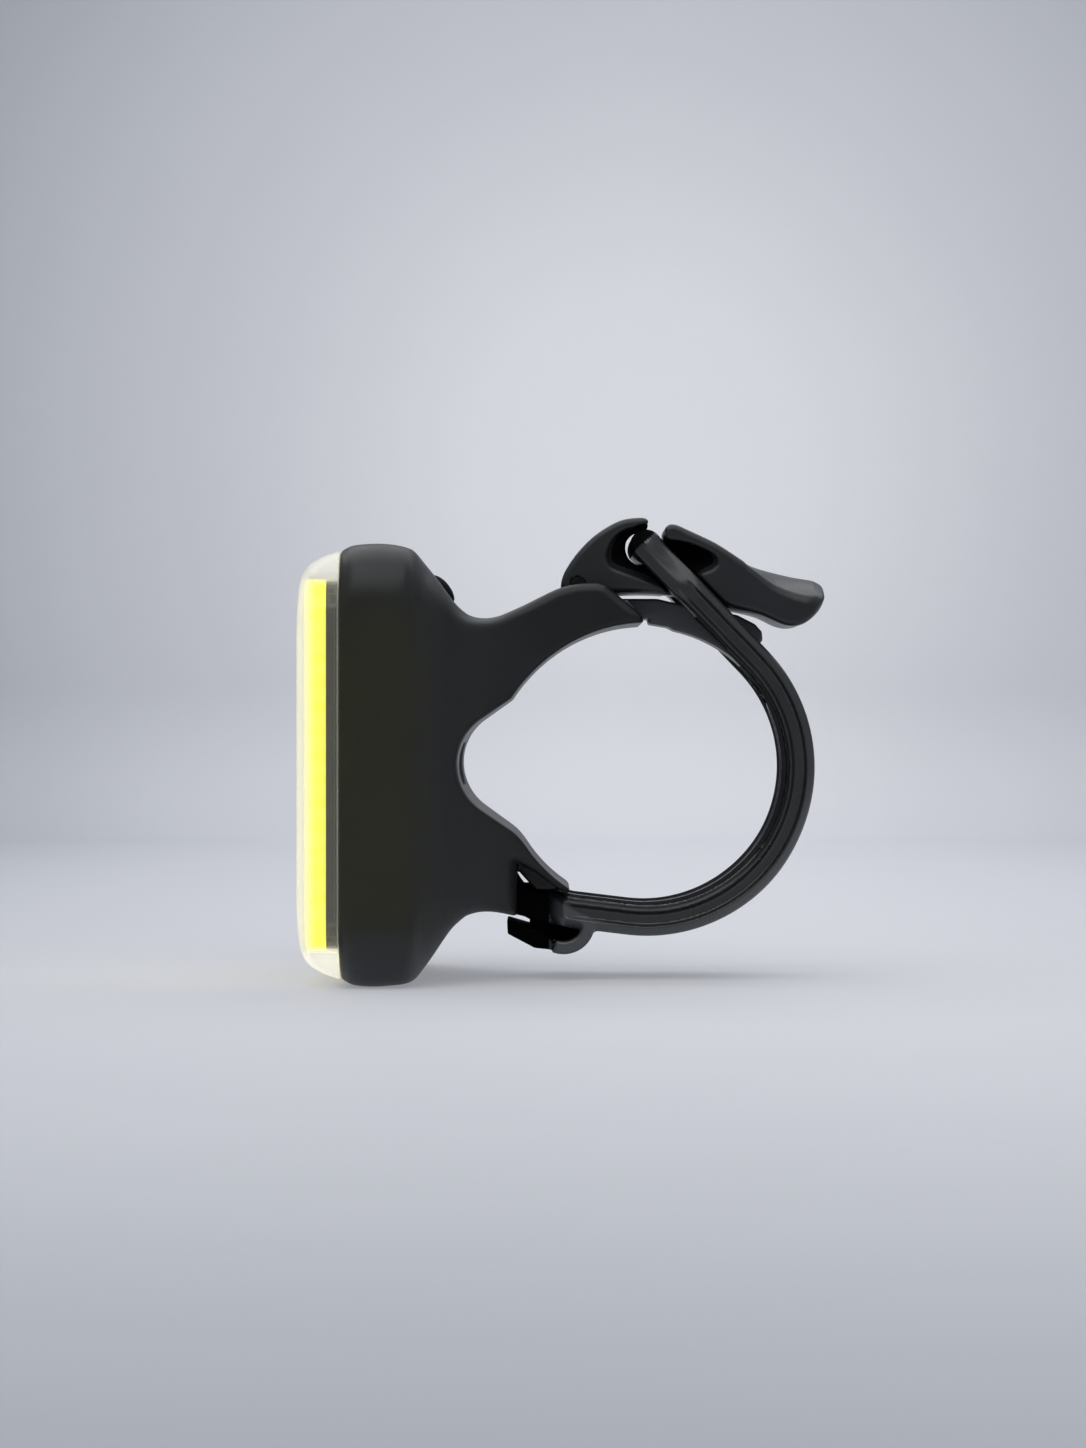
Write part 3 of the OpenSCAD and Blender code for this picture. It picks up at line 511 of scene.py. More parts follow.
def strap_field(x, y, z):
    ay = np.abs(y)
    s = path_side(CENTRE, x, z)
    f = strap_band_field(x, y, z, s)
    # Neck and clip eye
    ax, az = ANCHOR
    neck = poly([(-8, -13.9), (-10, -13.0), (ax + 3.1, az - 0.15), (ax + 2.2, az + 1.0), (ax, az + 2.3),
                 (ax, az - 2.3), (ax + 2.4, az - 3.05), (-10, -16.1), (-8, -16.3)], x, z)
    neck = smin(neck, circle(ANCHOR, NECK_R, x, z), 0.4)
    f = smin(f, meet(neck, ay - NECK_HALF, 0.4), 0.6)
    # Curled pull tab: a wide curl with a web inside it, and a narrow tail
    cx, cz = x - TAB_C[0], z - TAB_C[1]
    turn = np.degrees(np.arctan2(cz, cx))
    ring = np.maximum(np.abs(np.hypot(cx, cz) - TAB_R) - TAB_HALF_T,
                      0.045 * np.maximum(turn - 25, -112 - turn))
    ring = np.maximum(ring, 0.75 - s)
    f = smin(f, meet(ring, ay - STRAP_HALF, 0.3), 0.5)
    f = np.minimum(f, np.maximum(poly(TAB_WEB, cx, cz), ay - 4.5))
    f = smin(f, meet(poly(TAB_TAIL, cx, cz), ay - 5.4, 0.18), 0.2)
    # Eye and its slit
    f = smax(f, -circle(ANCHOR, EYE_R, x, z), 0.2)
    cosine, sine = math.cos(SLIT_ANGLE), math.sin(SLIT_ANGLE)
    along, over = (x - ax) * cosine + (z - az) * sine, -(x - ax) * sine + (z - az) * cosine
    return smax(f, -np.maximum(np.abs(over) - 0.55, -along), 0.2)


# Lever: hub, hook notch, hollows for the strap's legs, and a handle with a crowned thumb tab.

LEVER_TOP = [(10.9, 5.9), (14.2, 4.35), (17.5, 2.3), (19.9, 1.58), (22.4, 0.98), (24.6, 0.62), (25.6, 0.1),
             (25.88, -0.5)]
LEVER = around(PIVOT, np.concatenate([
    catmull([(-1.72, 0.3), (-1.3, 1.4), (0, 3.3), (1.9, 5.15), (4.3, 6.55), (6.4, 6.88), (7.2, 6.68),
             (7.38, 6.2)], 5),
    [(7.2, 5.7), (8.9, 5.5), (9.05, 5.9), (9.5, 6.2), (10.0, 6.2)],
    catmull(LEVER_TOP, 5),
    catmull([(25.8, -1.3), (24.9, -2.8), (23.6, -3.95), (22.4, -4.32), (21, -4.1), (18.8, -3.1), (16.3, -2.5),
             (13.4, -1.7), (9.5, -0.95), (5.5, -0.8), (2.4, -1.1), (0.9, -1.55)], 5),
    arc((0, 0), 1.75, -80, -176, 14)]))
HOLLOW = around(PIVOT, np.concatenate([
    catmull([(7.3, 5.9), (5.2, 5.7), (3.8, 4.9), (2.9, 3.6), (2.8, 2.5), (3.6, 1.5), (5.8, 0.7),
             (8.2, -0.2), (9.6, -0.6)], 4),
    [(12.6, 0.2)],
    catmull([(12.8, 1.1), (13.9, 1.4), (14.5, 2.2), (14, 3.1), (11.6, 4.2), (9.4, 4.6)], 4)]))
# The same hollow without its upper edge: from here the floor slopes in.
SCOOP = around(PIVOT, np.concatenate([
    catmull([(3.6, 9.5), (3.2, 5.5), (2.75, 3.8), (2.7, 2.5), (3.5, 1.4), (5.8, 0.6), (8.2, -0.3),
             (9.6, -0.7)], 4),
    catmull([(12.6, 0.2), (13.4, 0.9), (14.4, 1.5), (14.9, 2.4), (14.9, 9.5)], 4)]))
# How far the thumb tab's top falls away at its sides, along the handle
TAB_X, TAB_DROP = [15.5, 17, 18, 19.2, 20.5, 21.5, 23.2, 26], [0, 0.12, 0.5, 1.15, 1.75, 2.0, 2.2, 2.3]
TOP_X, TOP_Z = [8, 9.5] + [p[0] for p in LEVER_TOP], [12, 7] + [p[1] for p in LEVER_TOP]
MOUTH = around(PIVOT, [(7.42, 4), (8.85, 4.4), (8.95, 5.6), (9.1, 9), (7.38, 9)])
EAR_ROOM = around(PIVOT, [(-4, -4), (-4, 0), (0, 0), (2.4, -0.6), (2.4, -4)])
LEG_TURN = math.radians(LEG_ANGLE - 90)
LEG_REACH = math.sqrt(HOOK[0] ** 2 + HOOK[1] ** 2 - STRAP_MID ** 2)


def lever_field(x, y, z):
    ay = np.abs(y)
    lx, lz = x - PIVOT[0], z - PIVOT[1]
    top, drop = np.interp(lx, TOP_X, TOP_Z), np.interp(lx, TAB_X, TAB_DROP)
    # The thumb tab's end is round from above
    flat = smax(poly(LEVER, x, z), (lz - top + drop * (ay / LEVER_HALF) ** 1.7) * 0.8, 0.2)
    f = meet(flat, meet(lx - 25.9, ay - LEVER_HALF, 2.6), 0.6)
    # Notch for the crossbar, and its mouth
    f = smax(f, -circle(NOTCH, NOTCH_R, x, z), 0.25)
    f = smax(f, -poly(MOUTH, x, z), 0.25)
    # Room for the strap's legs beside the web, in scooped hollows
    along = x * math.cos(LEG_TURN) + z * math.sin(LEG_TURN)
    up = -x * math.sin(LEG_TURN) + z * math.cos(LEG_TURN)
    leg = np.maximum(np.abs(up - STRAP_MID) - 1.75, np.maximum(-LEG_REACH - along, along - 4))
    leg = np.maximum(np.minimum(leg, circle(HOOK, 2.2, x, z)), WEB_HALF - ay)
    scoop = smax(poly(HOLLOW, x, z), WEB_HALF - ay, 0.6)
    scoop = smax(scoop, poly(SCOOP, x, z) * 0.74 + (LEVER_HALF - ay) * 0.67, 0.6)
    f = smax(f, -np.minimum(scoop, leg), 0.4)
    # Room for the housing's ear, and the pin's bore
    room = np.minimum(circle(PIVOT, 2.5, x, z), poly(EAR_ROOM, x, z))
    f = smax(f, -np.maximum(room, ay - 2.7), 0.25)
    return np.maximum(f, LEVER_BORE_R - np.hypot(lx, lz))


# Tongue under the lever, with a foot and a pin between the upper cheeks.

GUIDE = np.concatenate([[(-4.9, FLOOR_Z), (-4.9, FLOOR_Z + 1.75), (-3, FLOOR_Z + 2.1), (1.2, FLOOR_Z + 2.1),
                         (4.64, FLOOR_Z + 1.3), (9.57, FLOOR_Z + 0.4), (11.41, FLOOR_Z - 0.55),
                         (12.11, FLOOR_Z - 1.35), (12.2, FLOOR_Z - 2.2)],
                        arc((0, 0), BAR_R + 0.2, 46, 78),
                        [(2.32, BAR_R + 0.25), (0.3, BAR_R + 0.6), (0.3, FLOOR_Z)]])
GUIDE_FOOT = [(-4.9, FLOOR_Z), (-4.9, FLOOR_Z + 1.6), (-2, FLOOR_Z + 1.9), (-1.2, FLOOR_Z + 1),
              (-1.2, FLOOR_Z)]


def guide_field(x, y, z):
    ay = np.abs(y)
    f = meet(poly(GUIDE, x, z), ay - GUIDE_HALF, 0.3)
    f = smin(f, meet(poly(GUIDE_FOOT, x, z), ay - CHEEK_IN + 0.05, 0.2), 0.3)
    return np.minimum(f, np.maximum(circle(GUIDE_PIN, 0.55, x, z), ay - CHEEK_IN - 0.3))


# Silicone pieces: the button with its flange and stem, and the port's bung with its plug.

def button_field(x, y, z):
    u, v = on_button(x, z)
    across = stadium(y, u, *BUTTON_CAP)
    dome = 0.5 - 0.55 * np.clip((across + 1.7) / 1.7, 0, 1.2) ** 2.2
    cap = smax(across, v - dome, 0.35)
    dimple = np.sqrt(y ** 2 + u ** 2 + (v - 3.05) ** 2) - 2.65
    cap = smax(cap, -dimple, 0.2)
    cap = np.maximum(cap, -1.3 - v)
    flange = meet(stadium(y, u, *BUTTON_FLANGE), np.abs(v + 1.6) - 0.4, 0.15)
    stem = meet(np.hypot(y, u) - 1.2, np.abs(v + 2.9) - 0.95, 0.2)
    return smin(np.minimum(cap, flange), stem, 0.3)


def bung_field(x, y, z):
    zc = z - MID_Z
    face = meet(stadium(y, zc, *BUNG_FACE), np.abs(x + 18.97) - 1.5, 0.25)
    face = smax(face, SEAT_R - np.hypot(x - SEAT_X - 5.55, zc), 0.2)
    plug = meet(stadium(y, zc, *BUNG_PLUG), np.abs(x + 21.4) - 1.5, 0.25)
    slot = meet(np.abs(y) - 3.6, np.abs(zc) - 0.6, 0.2)
    return smax(smin(face, plug, 0.3), -np.maximum(slot, x + 20.5), 0.1)


# Materials. All are made of nodes, with grain and small changes of gloss in object space, in metres.

# The range that most of a noise lies in
GRAIN = 0.3, 0.7


def material(name):
    m = bpy.data.materials.new(name)
    m.use_nodes = True
    tree = m.node_tree
    return m, tree, tree.nodes["Principled BSDF"]


def fill(node, values):
    """Sets sockets to plain values."""
    for socket, value in values.items():
        node.inputs[socket].default_value = value


def coords(tree):
    return tree.nodes.new("ShaderNodeTexCoord").outputs["Object"]


def split(tree, vec):
    """The X, Y and Z of a vector."""
    n = tree.nodes.new("ShaderNodeSeparateXYZ")
    tree.links.new(vec, n.inputs[0])
    return tuple(n.outputs)


def noise(tree, scale, detail, rough, vec):
    n = tree.nodes.new("ShaderNodeTexNoise")
    fill(n, {"Scale": scale, "Detail": detail, "Roughness": rough})
    tree.links.new(vec, n.inputs["Vector"])
    return n.outputs["Fac"]


def ramp(tree, fac, stops):
    """A colour for each value, from stops of position and colour."""
    n = tree.nodes.new("ShaderNodeValToRGB")
    e = n.color_ramp.elements
    while len(e) < len(stops):
        e.new(0.5)
    for el, (pos, col) in zip(e, stops):
        el.position = pos
        el.color = (*col, 1)
    tree.links.new(fac, n.inputs["Fac"])
    return n.outputs["Color"]


def remap(tree, fac, a, b, c=0.0, d=1.0):
    """From the range a to b to the range c to d, and no further."""
    n = tree.nodes.new("ShaderNodeMapRange")
    for i, v in enumerate((a, b, c, d), 1):
        n.inputs[i].default_value = v
    tree.links.new(fac, n.inputs[0])
    return n.outputs[0]


def maths(tree, op, a, *others):
    """One operation on sockets and numbers, taken from left to right where there are more than two."""
    n = tree.nodes.new("ShaderNodeMath")
    n.operation = op
    for i, v in enumerate((a, *others[:1])):
        if isinstance(v, (int, float)):
            n.inputs[i].default_value = v
        else:
            tree.links.new(v, n.inputs[i])
    return maths(tree, op, n.outputs[0], *others[1:]) if len(others) > 1 else n.outputs[0]


def mix(tree, share, a, b):
    """Colour a where share is 0, and b where it is 1."""
    n = tree.nodes.new("ShaderNodeMix")
    n.data_type = "RGBA"
    for socket, value in (("Factor", share), ("A", a), ("B", b)):
        tree.links.new(value, n.inputs[socket])
    return n.outputs["Result"]


def bump(tree, bsdf, height, strength, distance):
    n = tree.nodes.new("ShaderNodeBump")
    fill(n, {"Strength": strength, "Distance": distance})
    tree.links.new(height, n.inputs["Height"])
    tree.links.new(n.outputs["Normal"], bsdf.inputs["Normal"])


def srgb(r, g, b):
    """Linear colour from the 0 to 255 values of a screen."""
    return tuple((c / 255 / 12.92 if c <= 10 else ((c / 255 + 0.055) / 1.055) ** 2.4) for c in (r, g, b))


def dimmed(colour, share=0.85):
    return [c * share for c in colour]


def tones(tree, tone, dark, light):
    """A colour that the grain moves between dark and light."""
    return ramp(tree, tone, [(GRAIN[0], dark), (GRAIN[1], light)])


def housing_tones_painted_light(tree, vec, tone, colour, dark, light, front, foot):
    """Painted light: a warm glow from the lens on the front half, away from its edges; darker behind the
    saddle; and paler at the foot, a painted reflection of the floor.
    """
    x, _, z = split(tree, vec)
    painted_lens_glow_share = maths(tree, "MULTIPLY", remap(tree, x, -0.0205, -0.025),
                  remap(tree, maths(tree, "ABSOLUTE", z), 0.0135, 0.0195, 1.0, 0.0))
    behind = remap(tree, x, -0.017, -0.0095)
    below = remap(tree, z, -0.016, -0.0215)
    colour = mix(tree, painted_lens_glow_share, colour, tones(tree, tone, dimmed(front), front))
    colour = mix(tree, behind, colour, tones(tree, tone, dimmed(dark, 0.45), dimmed(light, 0.45)))
    return mix(tree, below, colour, tones(tree, tone, dimmed(foot), foot))


def painted_rim_reflection(tree, vec, tone, colour, rim):
    """Painted reflection of the floor: lighter on the lower half of the outer rim, which runs round the bar's
    axis.
    """
    x, y, z = split(tree, vec)
    r = maths(tree, "SQRT", maths(tree, "ADD", maths(tree, "POWER", x, 2), maths(tree, "POWER", z, 2)))
    share = maths(tree, "MULTIPLY", remap(tree, r, 0.0164, 0.0167), remap(tree, z, 0.004, -0.012),
                  remap(tree, maths(tree, "ABSOLUTE", y), 0.0066, 0.0076))
    return mix(tree, share, colour, tones(tree, tone, dimmed(rim), rim))


def plastic(name, dark, light, rough, grain=9000, strength=0.12, spec=0.5, front=None, foot=None, rim=None):
    """Moulded plastic or rubber: fine grain, slow changes of tone and gloss. On the housing, front is a
    painted warm glow from the lens and foot a painted reflection of the floor; rim is a painted reflection of
    the floor on the strap's outer rim."""
    m, tree, bsdf = material(name)
    vec = coords(tree)
    slow = noise(tree, 160, 4, 0.6, vec)
    fine = noise(tree, grain, 2, 0.5, vec)
    tone = maths(tree, "ADD", maths(tree, "MULTIPLY", slow, 0.7), maths(tree, "MULTIPLY", fine, 0.3))
    colour = tones(tree, tone, dark, light)
    if front:
        colour = housing_tones_painted_light(tree, vec, tone, colour, dark, light, front, foot)
    if rim:
        colour = painted_rim_reflection(tree, vec, tone, colour, rim)
    tree.links.new(colour, bsdf.inputs["Base Color"])
    tree.links.new(remap(tree, tone, *GRAIN, rough - 0.06, rough + 0.06), bsdf.inputs["Roughness"])
    fill(bsdf, {"Specular IOR Level": spec})
    bump(tree, bsdf, fine, strength, 0.00004)
    return m


def metal(name, dark, light, rough):
    """Metal with fine drawn lines."""
    m, tree, bsdf = material(name)
    mapping = tree.nodes.new("ShaderNodeMapping")
    fill(mapping, {"Scale": (1, 1, 12)})
    tree.links.new(coords(tree), mapping.inputs["Vector"])
    lines = noise(tree, 1500, 3, 0.6, mapping.outputs["Vector"])
    tree.links.new(tones(tree, lines, dark, light), bsdf.inputs["Base Color"])
    tree.links.new(remap(tree, lines, *GRAIN, rough - 0.07, rough + 0.07), bsdf.inputs["Roughness"])
    fill(bsdf, {"Metallic": 1.0})
    bump(tree, bsdf, lines, 0.1, 0.00003)
    return m


def board(name, mask, copper):
    """Circuit board with faint tracks under the solder mask."""
    m, tree, bsdf = material(name)
    vec = coords(tree)
    brick = tree.nodes.new("ShaderNodeTexBrick")
    fill(brick, {"Scale": 420, "Mortar Size": 0.03, "Color1": (*mask, 1), "Color2": (*dimmed(mask, 0.8), 1),
                 "Mortar": (*copper, 1)})
    tree.links.new(vec, brick.inputs["Vector"])
    tree.links.new(brick.outputs["Color"], bsdf.inputs["Base Color"])
    tree.links.new(remap(tree, noise(tree, 900, 2, 0.5, vec), *GRAIN, 0.3, 0.45), bsdf.inputs["Roughness"])
    bump(tree, bsdf, brick.outputs["Fac"], 0.15, 0.00003)
    return m


def lens_material():
    """Frosted polycarbonate that carries some of the panel's light in its front wall and in its ends."""
    m, tree, bsdf = material("lens_frost")
    vec = coords(tree)
    x, _, z = split(tree, vec)
    fill(bsdf, {"Base Color": (0.9, 0.9, 0.88, 1), "IOR": 1.06, "Coat Weight": 0.3, "Coat Roughness": 0.12,
                "Emission Color": (*srgb(255, 250, 225), 1)})
    tree.links.new(remap(tree, noise(tree, 700, 2, 0.5, vec), *GRAIN, 0.1, 0.14), bsdf.inputs["Roughness"])
    # Milky in the front wall, in the ends and in the thin rim at the housing, and clear between
    high = maths(tree, "ABSOLUTE", maths(tree, "SUBTRACT", z, MID_Z * MM))
    face = remap(tree, x, -0.0348, -0.0334, 1.0, 0.0)
    ends = remap(tree, high, 0.0180, 0.0194)
    rim = remap(tree, x, -0.03125, -0.03115, 0.0, 0.9)
    milk = maths(tree, "MAXIMUM", face, ends, rim)
    tree.links.new(remap(tree, milk, 0.0, 1.0, 0.97, 0.5), bsdf.inputs["Transmission Weight"])
    low_end = remap(tree, z, -0.0177, -0.0191, 0.0, 0.3)
    glow = maths(tree, "MAXIMUM", maths(tree, "MULTIPLY", face, 0.16), maths(tree, "MULTIPLY", ends, 0.1),
                 low_end)
    tree.links.new(glow, bsdf.inputs["Emission Strength"])
    bump(tree, bsdf, noise(tree, 1800, 2, 0.5, vec), 0.02, 0.00003)
    return m


def panel_material():
    """Yellow phosphor with a faint pattern of the chips under it."""
    m, tree, bsdf = material("phosphor")
    cells = tree.nodes.new("ShaderNodeTexVoronoi")
    fill(cells, {"Scale": 420, "Randomness": 0.15})
    tree.links.new(coords(tree), cells.inputs["Vector"])
    away = cells.outputs["Distance"]
    col = ramp(tree, away, [(0.1, srgb(255, 250, 104)), (0.7, srgb(255, 246, 76))])
    tree.links.new(col, bsdf.inputs["Base Color"])
    tree.links.new(col, bsdf.inputs["Emission Color"])
    tree.links.new(remap(tree, away, 0.0, 0.8, 0.76, 0.68), bsdf.inputs["Emission Strength"])
    tree.links.new(remap(tree, away, 0.0, 0.8, 0.5, 0.65), bsdf.inputs["Roughness"])
    bump(tree, bsdf, away, 0.1, 0.00005)
    return m


# Near-black colour of painted shade, for faces of the strap and the lever where shade falls
PAINTED_SHADE_BLACK = (0.0012, 0.0013, 0.0014), (0.002, 0.0021, 0.0022)
MATS = {
    # front is a painted warm glow from the lens on the housing's front half, and foot a painted floor
    # reflection that makes its bottom paler
    "housing": plastic("housing_plastic", (0.0104, 0.0122, 0.0136), (0.0138, 0.016, 0.0176), 0.42, spec=0.33,
                       front=(0.0185, 0.019, 0.0068), foot=(0.036, 0.0395, 0.043)),
    "lever": plastic("lever_plastic", (0.0105, 0.0128, 0.0144), (0.014, 0.0166, 0.0186), 0.36, spec=0.38),
    # rim is a painted reflection of the floor on the lower half of the strap's outer rim
    "strap": plastic("strap_rubber", (0.0095, 0.0112, 0.0125), (0.0125, 0.0145, 0.016), 0.3, 7000, 0.1, 0.6,
                     rim=(0.06, 0.065, 0.07)),
    # The two near-black materials below are painted shade for faces in the hollows, round the crossbar and
    # behind other parts
    "strap_painted_shade": plastic("strap_rubber_painted_shade", *PAINTED_SHADE_BLACK, 0.85, 6000, 0.2, 0.04),
    # deep is near-black painted shade for the lever's hollows and notch
    "deep": plastic("lever_hollow", *PAINTED_SHADE_BLACK, 0.8, 6000, 0.2, 0.06),
    "guide": plastic("guide_plastic", (0.042, 0.047, 0.052), (0.05, 0.056, 0.062), 0.45),
    "rubber": plastic("button_rubber", (0.0025, 0.0028, 0.003), (0.0045, 0.005, 0.0055), 0.8, 8000, 0.15,
                      0.1),
    "gasket": plastic("gasket_silicone", (0.04, 0.04, 0.043), (0.06, 0.06, 0.064), 0.5),
    "foam": plastic("foam_grey", (0.03, 0.03, 0.034), (0.06, 0.06, 0.066), 0.9, 4000, 0.5, 0.2),
    "pad": plastic("thermal_blue", (0.2, 0.26, 0.36), (0.28, 0.34, 0.45), 0.75, 5000, 0.3, 0.3),
    "cell": plastic("cell_wrap", (0.3, 0.34, 0.4), (0.4, 0.44, 0.5), 0.3),
    "chip": plastic("chip_epoxy", (0.008, 0.008, 0.009), (0.016, 0.016, 0.018), 0.5),
    "lead": plastic("lead_red", (0.32, 0.012, 0.01), (0.45, 0.025, 0.02), 0.4),
    "ceramic": plastic("capacitor_ceramic", (0.42, 0.28, 0.16), (0.55, 0.38, 0.22), 0.5),
    "steel": metal("pin_steel", (0.42, 0.43, 0.45), (0.6, 0.61, 0.63), 0.32),
    "black_pin": metal("pin_blacked", (0.012, 0.013, 0.014), (0.03, 0.031, 0.033), 0.4),
    "aluminium": metal("spreader_anodised", (0.1, 0.102, 0.09), (0.145, 0.147, 0.13), 0.45),
    "brass": metal("pins_gold", (0.6, 0.44, 0.16), (0.8, 0.62, 0.27), 0.28),
    "green_board": board("main_board_mask", (0.006, 0.07, 0.025), (0.03, 0.14, 0.05)),
    "grey_board": board("led_board_mask", (0.125, 0.13, 0.09), (0.16, 0.165, 0.12)),
    "lens": lens_material(),
    "panel": panel_material(),
}


def dress(obj, mat):
    obj.data.materials.clear()
    obj.data.materials.append(MATS[mat])


def dress_part(obj, mat, choose):
    """Gives a second material to the faces that choose() picks by middle and normal."""
    polys = obj.data.polygons
    c, n = np.empty(len(polys) * 3), np.empty(len(polys) * 3)
    polys.foreach_get("center", c)
    polys.foreach_get("normal", n)
    obj.data.materials.append(MATS[mat])
    chosen = choose(c.reshape(-1, 3).T / MM, n.reshape(-1, 3).T)
    polys.foreach_set("material_index", chosen.astype(np.int32))


def strap_painted_shade_faces(c, n):
    """Painted shade, near-black and dull: the face towards the bar, the crossbar, the neck, and the tail and
    web of the pull tab.
    """
    x, y, z = c
    ay = np.abs(y)
    far = np.hypot(x - HOOK[0], z - HOOK[1])
    along = (x - HOOK[0]) * math.cos(LEG_TURN) + (z - HOOK[1]) * math.sin(LEG_TURN)
    inside = (path_side(CENTRE, x, z) < -1.25) & (np.abs(n[1]) < 0.4) & (ay > 0.5) & (far > 9)
    tab = (ay < 5.6) & (circle(TAB_C, 2.2, x, z) < 0) & (z < -16.2)
    return inside | tab | (x < -10.1) | ((far < 2.6) & (along < -0.35))


def lever_painted_shade_faces(c, _):
    """Painted shade, dull and black: the hollows beside the web, and the notch."""
    x, y, z = c
    ay = np.abs(y)
    hollow = (poly(HOLLOW, x, z) < 0.2) & (ay < 5.6) & (ay > 3.0)
    notch = (circle(NOTCH, 2.15, x, z) < 0) & (ay < CROSSBAR_HALF)
    return hollow | notch


PIECES = [
    # name, field, low corner, high corner, cell, share of faces kept, node, body, material
    ("housing_shell", housing_field, (-31.6, -22.9, -22.6), (0.7, 22.9, 23.2), 0.36, 0.45,
     "housing", "light", "housing"),
    ("lens_cap", lens_field, (-36.2, -22.3, -22), (-30, 22.3, 22.6), 0.32, 1,
     "lens", "light", "lens"),
    ("strap_band", strap_field, (-19, -9, -20), (18.2, 9, 25.2), 0.22, 1,
     "strap", None, "strap"),
    ("lever_body", lever_field, (-9.6, -7.1, 13.8), (19.4, 7.1, 26.6), 0.22, 1,
     "cam_lever", "lever", "lever"),
    ("guide_tongue", guide_field, (-5.5, -7.4, 9.9), (12.8, 7.4, 18.1), 0.24, 0.6,
     "strap_guide", "light", "guide"),
    ("button_cap", button_field, (-25.6, -6.2, 14.4), (-19, 6.2, 21.2), 0.2, 0.6,
     "power_button", "button", "rubber"),
    ("bung_face", bung_field, (-23.6, -7.9, -2.4), (-17, 7.9, 3), 0.2, 0.6,
     "port_bung", "bung", "rubber"),
]
made = {}
for name, field, lo, hi, cell, keep, node, body, mat in PIECES:
    obj = solid(name, field, lo, hi, cell, keep)
    dress(obj, mat)
    if body:
        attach(obj, body)
    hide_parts(node)
    made[name] = obj

# Near-black painted shade on the strap's faces where shade falls
dress_part(made["strap_band"], "strap_painted_shade", strap_painted_shade_faces)
# Near-black painted shade on the lever's hollows and notch
dress_part(made["lever_body"], "deep", lever_painted_shade_faces)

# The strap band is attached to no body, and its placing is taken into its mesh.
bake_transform(made["strap_band"])

# The inner pieces keep their CAD shapes.
CARRIED = {
    "lens_gasket": "gasket", "light_panel": "panel", "led_board": "grey_board", "heat_spreader": "aluminium",
    "board_screws": "steel", "thermal_pad": "pad", "main_board": "green_board", "led_pins": "brass",
    "battery": "cell", "battery_foam": "foam", "battery_leads": "lead", "usb_shell": "steel",
    "usb_insert": "chip", "driver_inductor": "chip", "control_chip": "chip", "charge_chip": "chip",
    "board_capacitors": "ceramic", "switch_bracket": "chip", "tact_switch": "chip", "switch_plunger": "brass",
    "lever_pin": "black_pin",
}
for node, mat in CARRIED.items():
    dress(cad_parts[node], mat)


# Stage: a pale floor that curves up into a backdrop, soft light from above and in front. In metres.

def paper_material():
    """Pale paper with a painted pool of light round the middle of the picture, darker towards its edges. Rays
    from the camera, a reflection or the lens see part of its colour unshaded, so the shadow on it stays
    light."""
    m, tree, bsdf = material("paper")
    vec = coords(tree)
    x, y, z = split(tree, vec)
    across = maths(tree, "DIVIDE", maths(tree, "SUBTRACT", x, 0.012), 0.2)
    up = maths(tree, "DIVIDE", maths(tree, "SUBTRACT", z, 0.065), 0.205)
    near = maths(tree, "DIVIDE", maths(tree, "MINIMUM", maths(tree, "ADD", y, 0.05), 0.0), 0.26)
    far = maths(tree, "SQRT", maths(tree, "ADD", *[maths(tree, "POWER", d, 2) for d in (across, up, near)]))
    cloud = maths(tree, "MULTIPLY", noise(tree, 30.0, 4, 0.6, vec), 0.04)
    col = ramp(tree, maths(tree, "ADD", far, cloud), [
        (0.0, srgb(229, 231, 235)), (0.22, srgb(225, 227, 232)), (0.5, srgb(204, 206, 213)),
        (0.7, srgb(190, 193, 200)), (1.0, srgb(160, 164, 173))])
    tree.links.new(col, bsdf.inputs["Base Color"])
    fill(bsdf, {"Roughness": 0.6, "Specular IOR Level": 0.25})
    glow = tree.nodes.new("ShaderNodeEmission")
    tree.links.new(col, glow.inputs["Color"])
    path = tree.nodes.new("ShaderNodeLightPath").outputs
    seen = maths(tree, "MAXIMUM", path["Is Camera Ray"], path["Is Glossy Ray"], path["Is Transmission Ray"])
    both = tree.nodes.new("ShaderNodeMixShader")
    for i, value in enumerate((maths(tree, "MULTIPLY", seen, 0.42), bsdf.outputs[0], glow.outputs[0])):
        tree.links.new(value, both.inputs[i])
    tree.links.new(both.outputs[0], tree.nodes["Material Output"].inputs["Surface"])
    return m


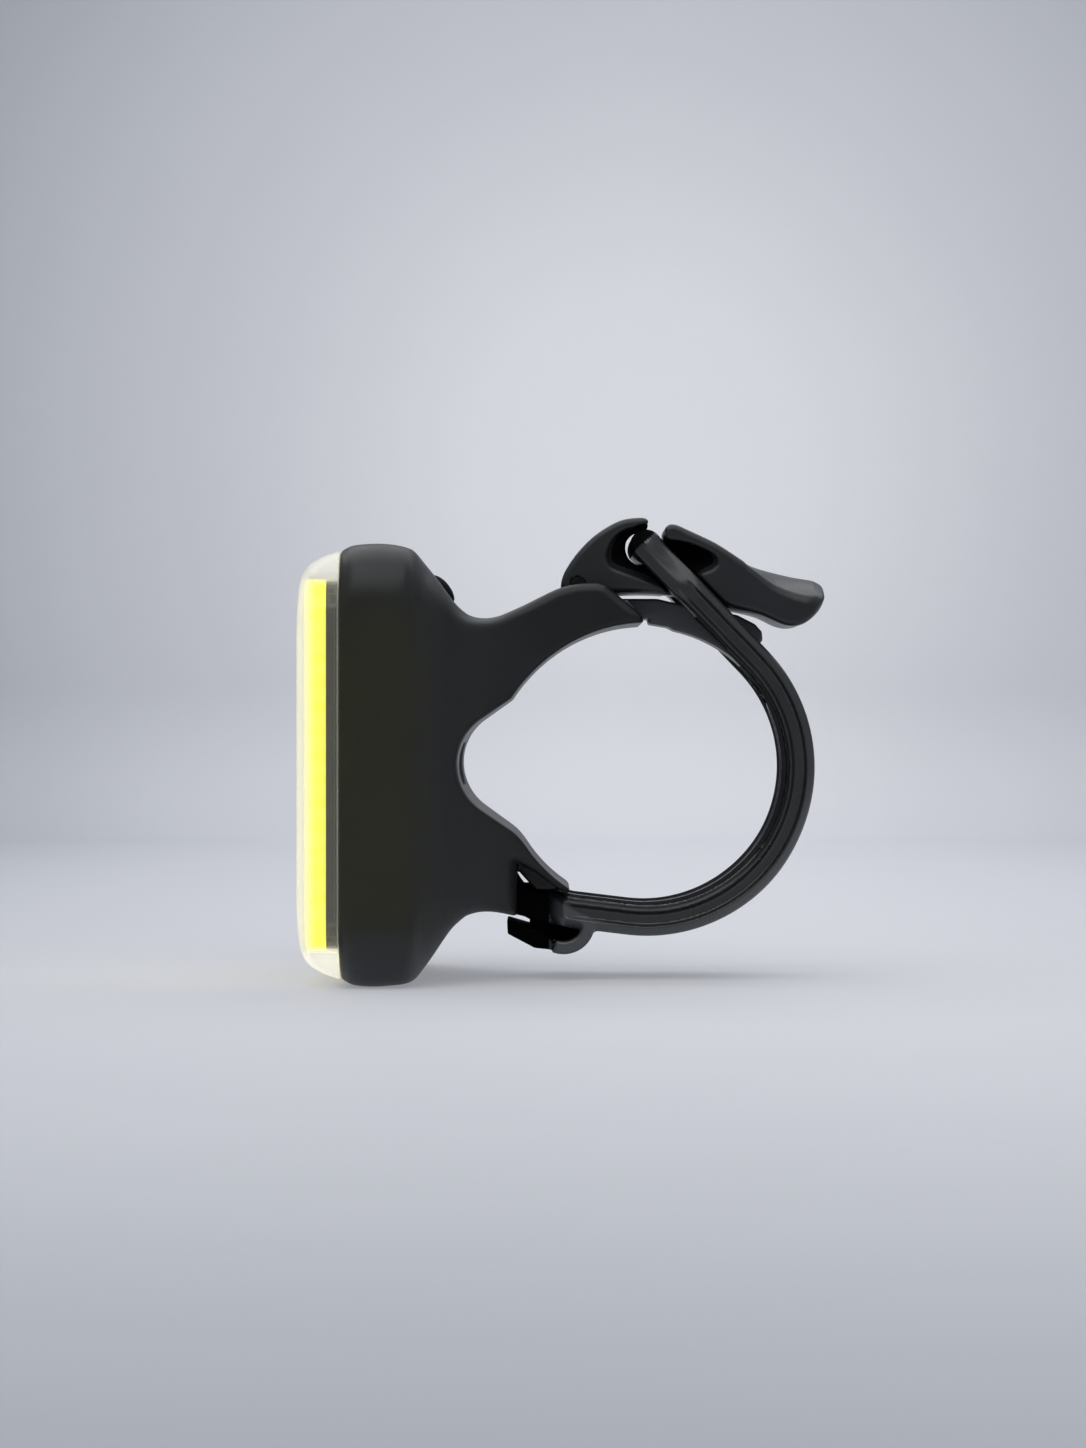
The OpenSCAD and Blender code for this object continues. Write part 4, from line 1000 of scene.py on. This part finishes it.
def sweep():
    """The floor and backdrop, one sheet with a round foot."""
    back, r, height, wide, near = 0.5, 0.035, 2.2, 2.4, -2.2
    prof = [(near, 0.0), (-0.6, 0.0), (0.0, 0.0), (back - r, 0.0)]
    prof += [(back - r + r * math.sin(a), r - r * math.cos(a)) for a in np.linspace(0, math.pi / 2, 17)[1:]]
    prof += [(back, 0.2), (back, height)]
    verts = [(x, y, z + GROUND * MM) for y, z in prof for x in (-wide, wide)]
    faces = [(2 * i, 2 * i + 1, 2 * i + 3, 2 * i + 2) for i in range(len(prof) - 1)]
    mesh = bpy.data.meshes.new("backdrop")
    mesh.from_pydata(verts, [], faces)
    mesh.polygons.foreach_set("use_smooth", [True] * len(faces))
    obj = bpy.data.objects.new("backdrop", mesh)
    bpy.context.scene.collection.objects.link(obj)
    mesh.materials.append(paper_material())


sweep()


def area(name, loc, target, size, power):
    """A rectangular lamp at loc that faces target."""
    lamp = bpy.data.lights.new(name, "AREA")
    lamp.shape = "RECTANGLE"
    lamp.size, lamp.size_y = size
    lamp.energy = power
    obj = bpy.data.objects.new(name, lamp)
    obj.location = loc
    obj.rotation_euler = (Vector(target) - Vector(loc)).to_track_quat("-Z", "Y").to_euler()
    bpy.context.scene.collection.objects.link(obj)


area("key", (-0.1, -0.52, 0.8), (0, 0.02, 0), (1.3, 0.9), 5.2)
area("rim", (0.0, 0.22, 0.8), (0, 0.05, 0), (1.1, 0.4), 2.2)
area("low_rim", (0.0, 0.38, 0.42), (0, 0, 0.01), (1.1, 0.22), 1.1)


def studio():
    """Soft surroundings, lighter above and darker behind the camera."""
    world = bpy.data.worlds.new("studio")
    bpy.context.scene.world = world
    world.use_nodes = True
    tree = world.node_tree
    back = tree.nodes["Background"]
    _, y, z = split(tree, tree.nodes.new("ShaderNodeTexCoord").outputs["Generated"])
    up = remap(tree, z, -0.1, 0.8, 0.75, 0.85)
    front = remap(tree, y, -1.0, 0.1, 0.5, 1.0)
    tree.links.new(maths(tree, "MULTIPLY", up, front), back.inputs["Strength"])
    fill(back, {"Color": (0.64, 0.65, 0.67, 1)})


studio()

# Camera: level, on the photograph's axis. A pixel is PIXEL wide at mid width, CAM_D away.
CAM_D = 0.4
IMAGE_HEIGHT = 1448
PIXEL = 0.000105
SENSOR = 36
cam = bpy.data.cameras.new("camera")
cam.sensor_fit = "AUTO"
cam.sensor_width = SENSOR
cam.lens = SENSOR * CAM_D / (IMAGE_HEIGHT * PIXEL)
cam.clip_start, cam.clip_end = 0.01, 20
cam_obj = bpy.data.objects.new("camera", cam)
cam_obj.location = (-0.01071, -CAM_D, 0.00444)
cam_obj.rotation_euler = (math.pi / 2, 0, 0)
bpy.context.scene.collection.objects.link(cam_obj)
bpy.context.scene.camera = cam_obj
bpy.context.scene.view_settings.view_transform = "Standard"
